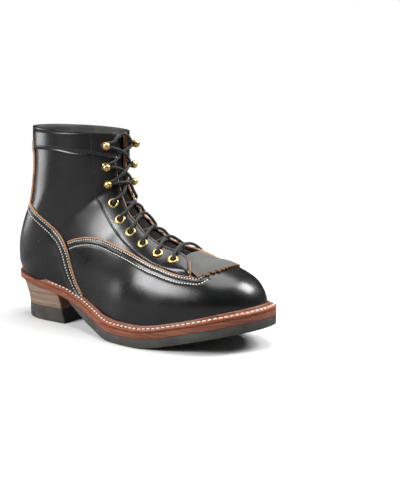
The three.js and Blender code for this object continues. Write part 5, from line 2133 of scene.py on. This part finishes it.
@dataclass
class Studio:
    """Camera, floor and light."""

    azimuth: float = 34.9
    pitch: float = 10.4
    distance: float = 900.0
    target: tuple[float, float, float] = (225.9, 0.0, 87.6)
    lens: float = 68.26
    # distances from the boot between which the floor turns white, in metres
    floor_fade: tuple[float, float] = (0.25, 0.9)
    floor_reflected: float = 0.26
    room_light: float = 0.05
    # point that the softboxes face, in metres
    aim: tuple[float, float, float] = (0.0, 0.0, 0.08)
    softboxes: tuple[Softbox, ...] = (
        Softbox("top", (0.1, 0.25, 1.5), (1.5, 1.1), 21.0),
        Softbox("front", (-0.42, -1.06, 0.78), (0.62, 0.62), 18.0),
        Softbox("toe_back", (0.8, 0.62, 0.95), (0.62, 0.5), 18.0),
        Softbox("heel_side", (-1.4, -0.35, 0.1), (0.7, 0.3), 3.2),
    )

    def build_camera(self, last: Last) -> None:
        """Set the camera at the photograph's angle.

        Args:
            last: The last, which places the boot in the frame.
        """
        theta, phi = math.radians(self.azimuth), math.radians(self.pitch)
        back = Vector((math.sin(theta) * math.cos(phi), -math.cos(theta) * math.cos(phi), math.sin(phi)))
        eye = Vector(self.target) + self.distance * back
        data = bpy.data.cameras.new("camera")
        data.lens = self.lens
        data.sensor_width = 36.0
        data.clip_start = 0.01
        camera = bpy.data.objects.new("camera", data)
        camera.location = last.place(np.array(eye))
        camera.rotation_euler = back.to_track_quat("Z", "Y").to_euler()
        bpy.context.scene.collection.objects.link(camera)
        bpy.context.scene.camera = camera

    def build_floor(self) -> None:
        """Lay a pale floor that fades to white away from the boot."""
        bm = bmesh.new()
        bmesh.ops.create_circle(bm, cap_ends=True, segments=96, radius=14.0)
        mesh = bpy.data.meshes.new("floor")
        bm.to_mesh(mesh)
        bm.free()
        floor = bpy.data.objects.new("floor", mesh)
        floor.location.z = -0.0002
        made = bpy.data.materials.new("pale_floor")
        made.use_nodes = True
        tree = made.node_tree
        pale = wire(tree, tree.nodes["Principled BSDF"], {
            "Base Color": (0.9, 0.9, 0.9, 1.0), "Roughness": 0.9, "Specular IOR Level": 0.0})
        glow = add_node(tree, "Emission", {})
        reach = add_node(tree, "VectorMath", {0: add_node(tree, "TexCoord", {}).outputs["Object"]})
        reach.operation = "LENGTH"
        near, far = self.floor_fade
        fade = add_node(tree, "MapRange", {
            "From Min": near, "From Max": far, "Value": reach.outputs["Value"]})
        fade.interpolation_type = "SMOOTHSTEP"
        mix = add_node(tree, "MixShader", {
            "Fac": fade.outputs["Result"], 1: pale.outputs["BSDF"], 2: glow.outputs["Emission"]})
        dim = add_node(tree, "BsdfDiffuse", {"Color": (*[self.floor_reflected] * 3, 1.0)})
        path = add_node(tree, "LightPath", {})
        seen = add_node(tree, "MixShader", {
            "Fac": path.outputs["Is Camera Ray"], 1: dim.outputs["BSDF"], 2: mix.outputs["Shader"]})
        wire(tree, tree.nodes["Material Output"], {"Surface": seen.outputs["Shader"]})
        mesh.materials.append(made)
        bpy.context.scene.collection.objects.link(floor)

    def build_light(self) -> None:
        """Hang the softboxes and set the white surroundings."""
        scene = bpy.context.scene
        for box in self.softboxes:
            data = bpy.data.lights.new(box.name, "AREA")
            data.shape = "RECTANGLE"
            data.size, data.size_y = box.size
            data.energy = box.power
            lamp = bpy.data.objects.new(box.name, data)
            lamp.location = box.place
            away = Vector(box.place) - Vector(self.aim)
            lamp.rotation_euler = away.to_track_quat("Z", "Y").to_euler()
            scene.collection.objects.link(lamp)
        world = bpy.data.worlds.new("white_room")
        world.use_nodes = True
        tree = world.node_tree
        faint = wire(tree, tree.nodes["Background"], {
            "Strength": self.room_light, "Color": (0.95, 0.97, 1.0, 1.0)})
        white = add_node(tree, "Background", {"Color": (1.0, 1.0, 1.0, 1.0)})
        path = add_node(tree, "LightPath", {})
        mix = add_node(tree, "MixShader", {
            "Fac": path.outputs["Is Camera Ray"], 1: faint.outputs[0], 2: white.outputs[0]})
        wire(tree, tree.nodes["World Output"], {"Surface": mix.outputs[0]})
        scene.world = world
        scene.view_settings.view_transform = "Standard"

    def build(self, last: Last) -> None:
        """Set up the studio."""
        self.build_camera(last)
        self.build_floor()
        self.build_light()


def boot_origin() -> Vector:
    """Find the boot's own origin in the frame: the back of the sole on the heel's centre line.

    Returns:
        The origin, in millimetres.
    """
    sole_low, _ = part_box("midsole")
    cap_low, cap_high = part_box("heel_cap")
    return Vector((sole_low.x / MM - 0.02, (cap_low.y + cap_high.y) / 2 / MM, cap_low.z / MM))


def main() -> None:
    """Build the boot piece by piece."""
    logging.basicConfig(level=logging.INFO, format="%(name)s: %(message)s")
    sole = Sole()
    last = Last(sole, origin=boot_origin())
    LOG.info("origin %s", tuple(round(v, 2) for v in last.origin))
    throat = Throat(last)
    Studio().build(last)
    Upper(last, throat).build()
    WeltedSole(sole, last).build()
    Heel(sole, last).build()
    Hardware(last, throat).build()
    Lace(last, throat).build()


if __name__ == "__main__":
    main()
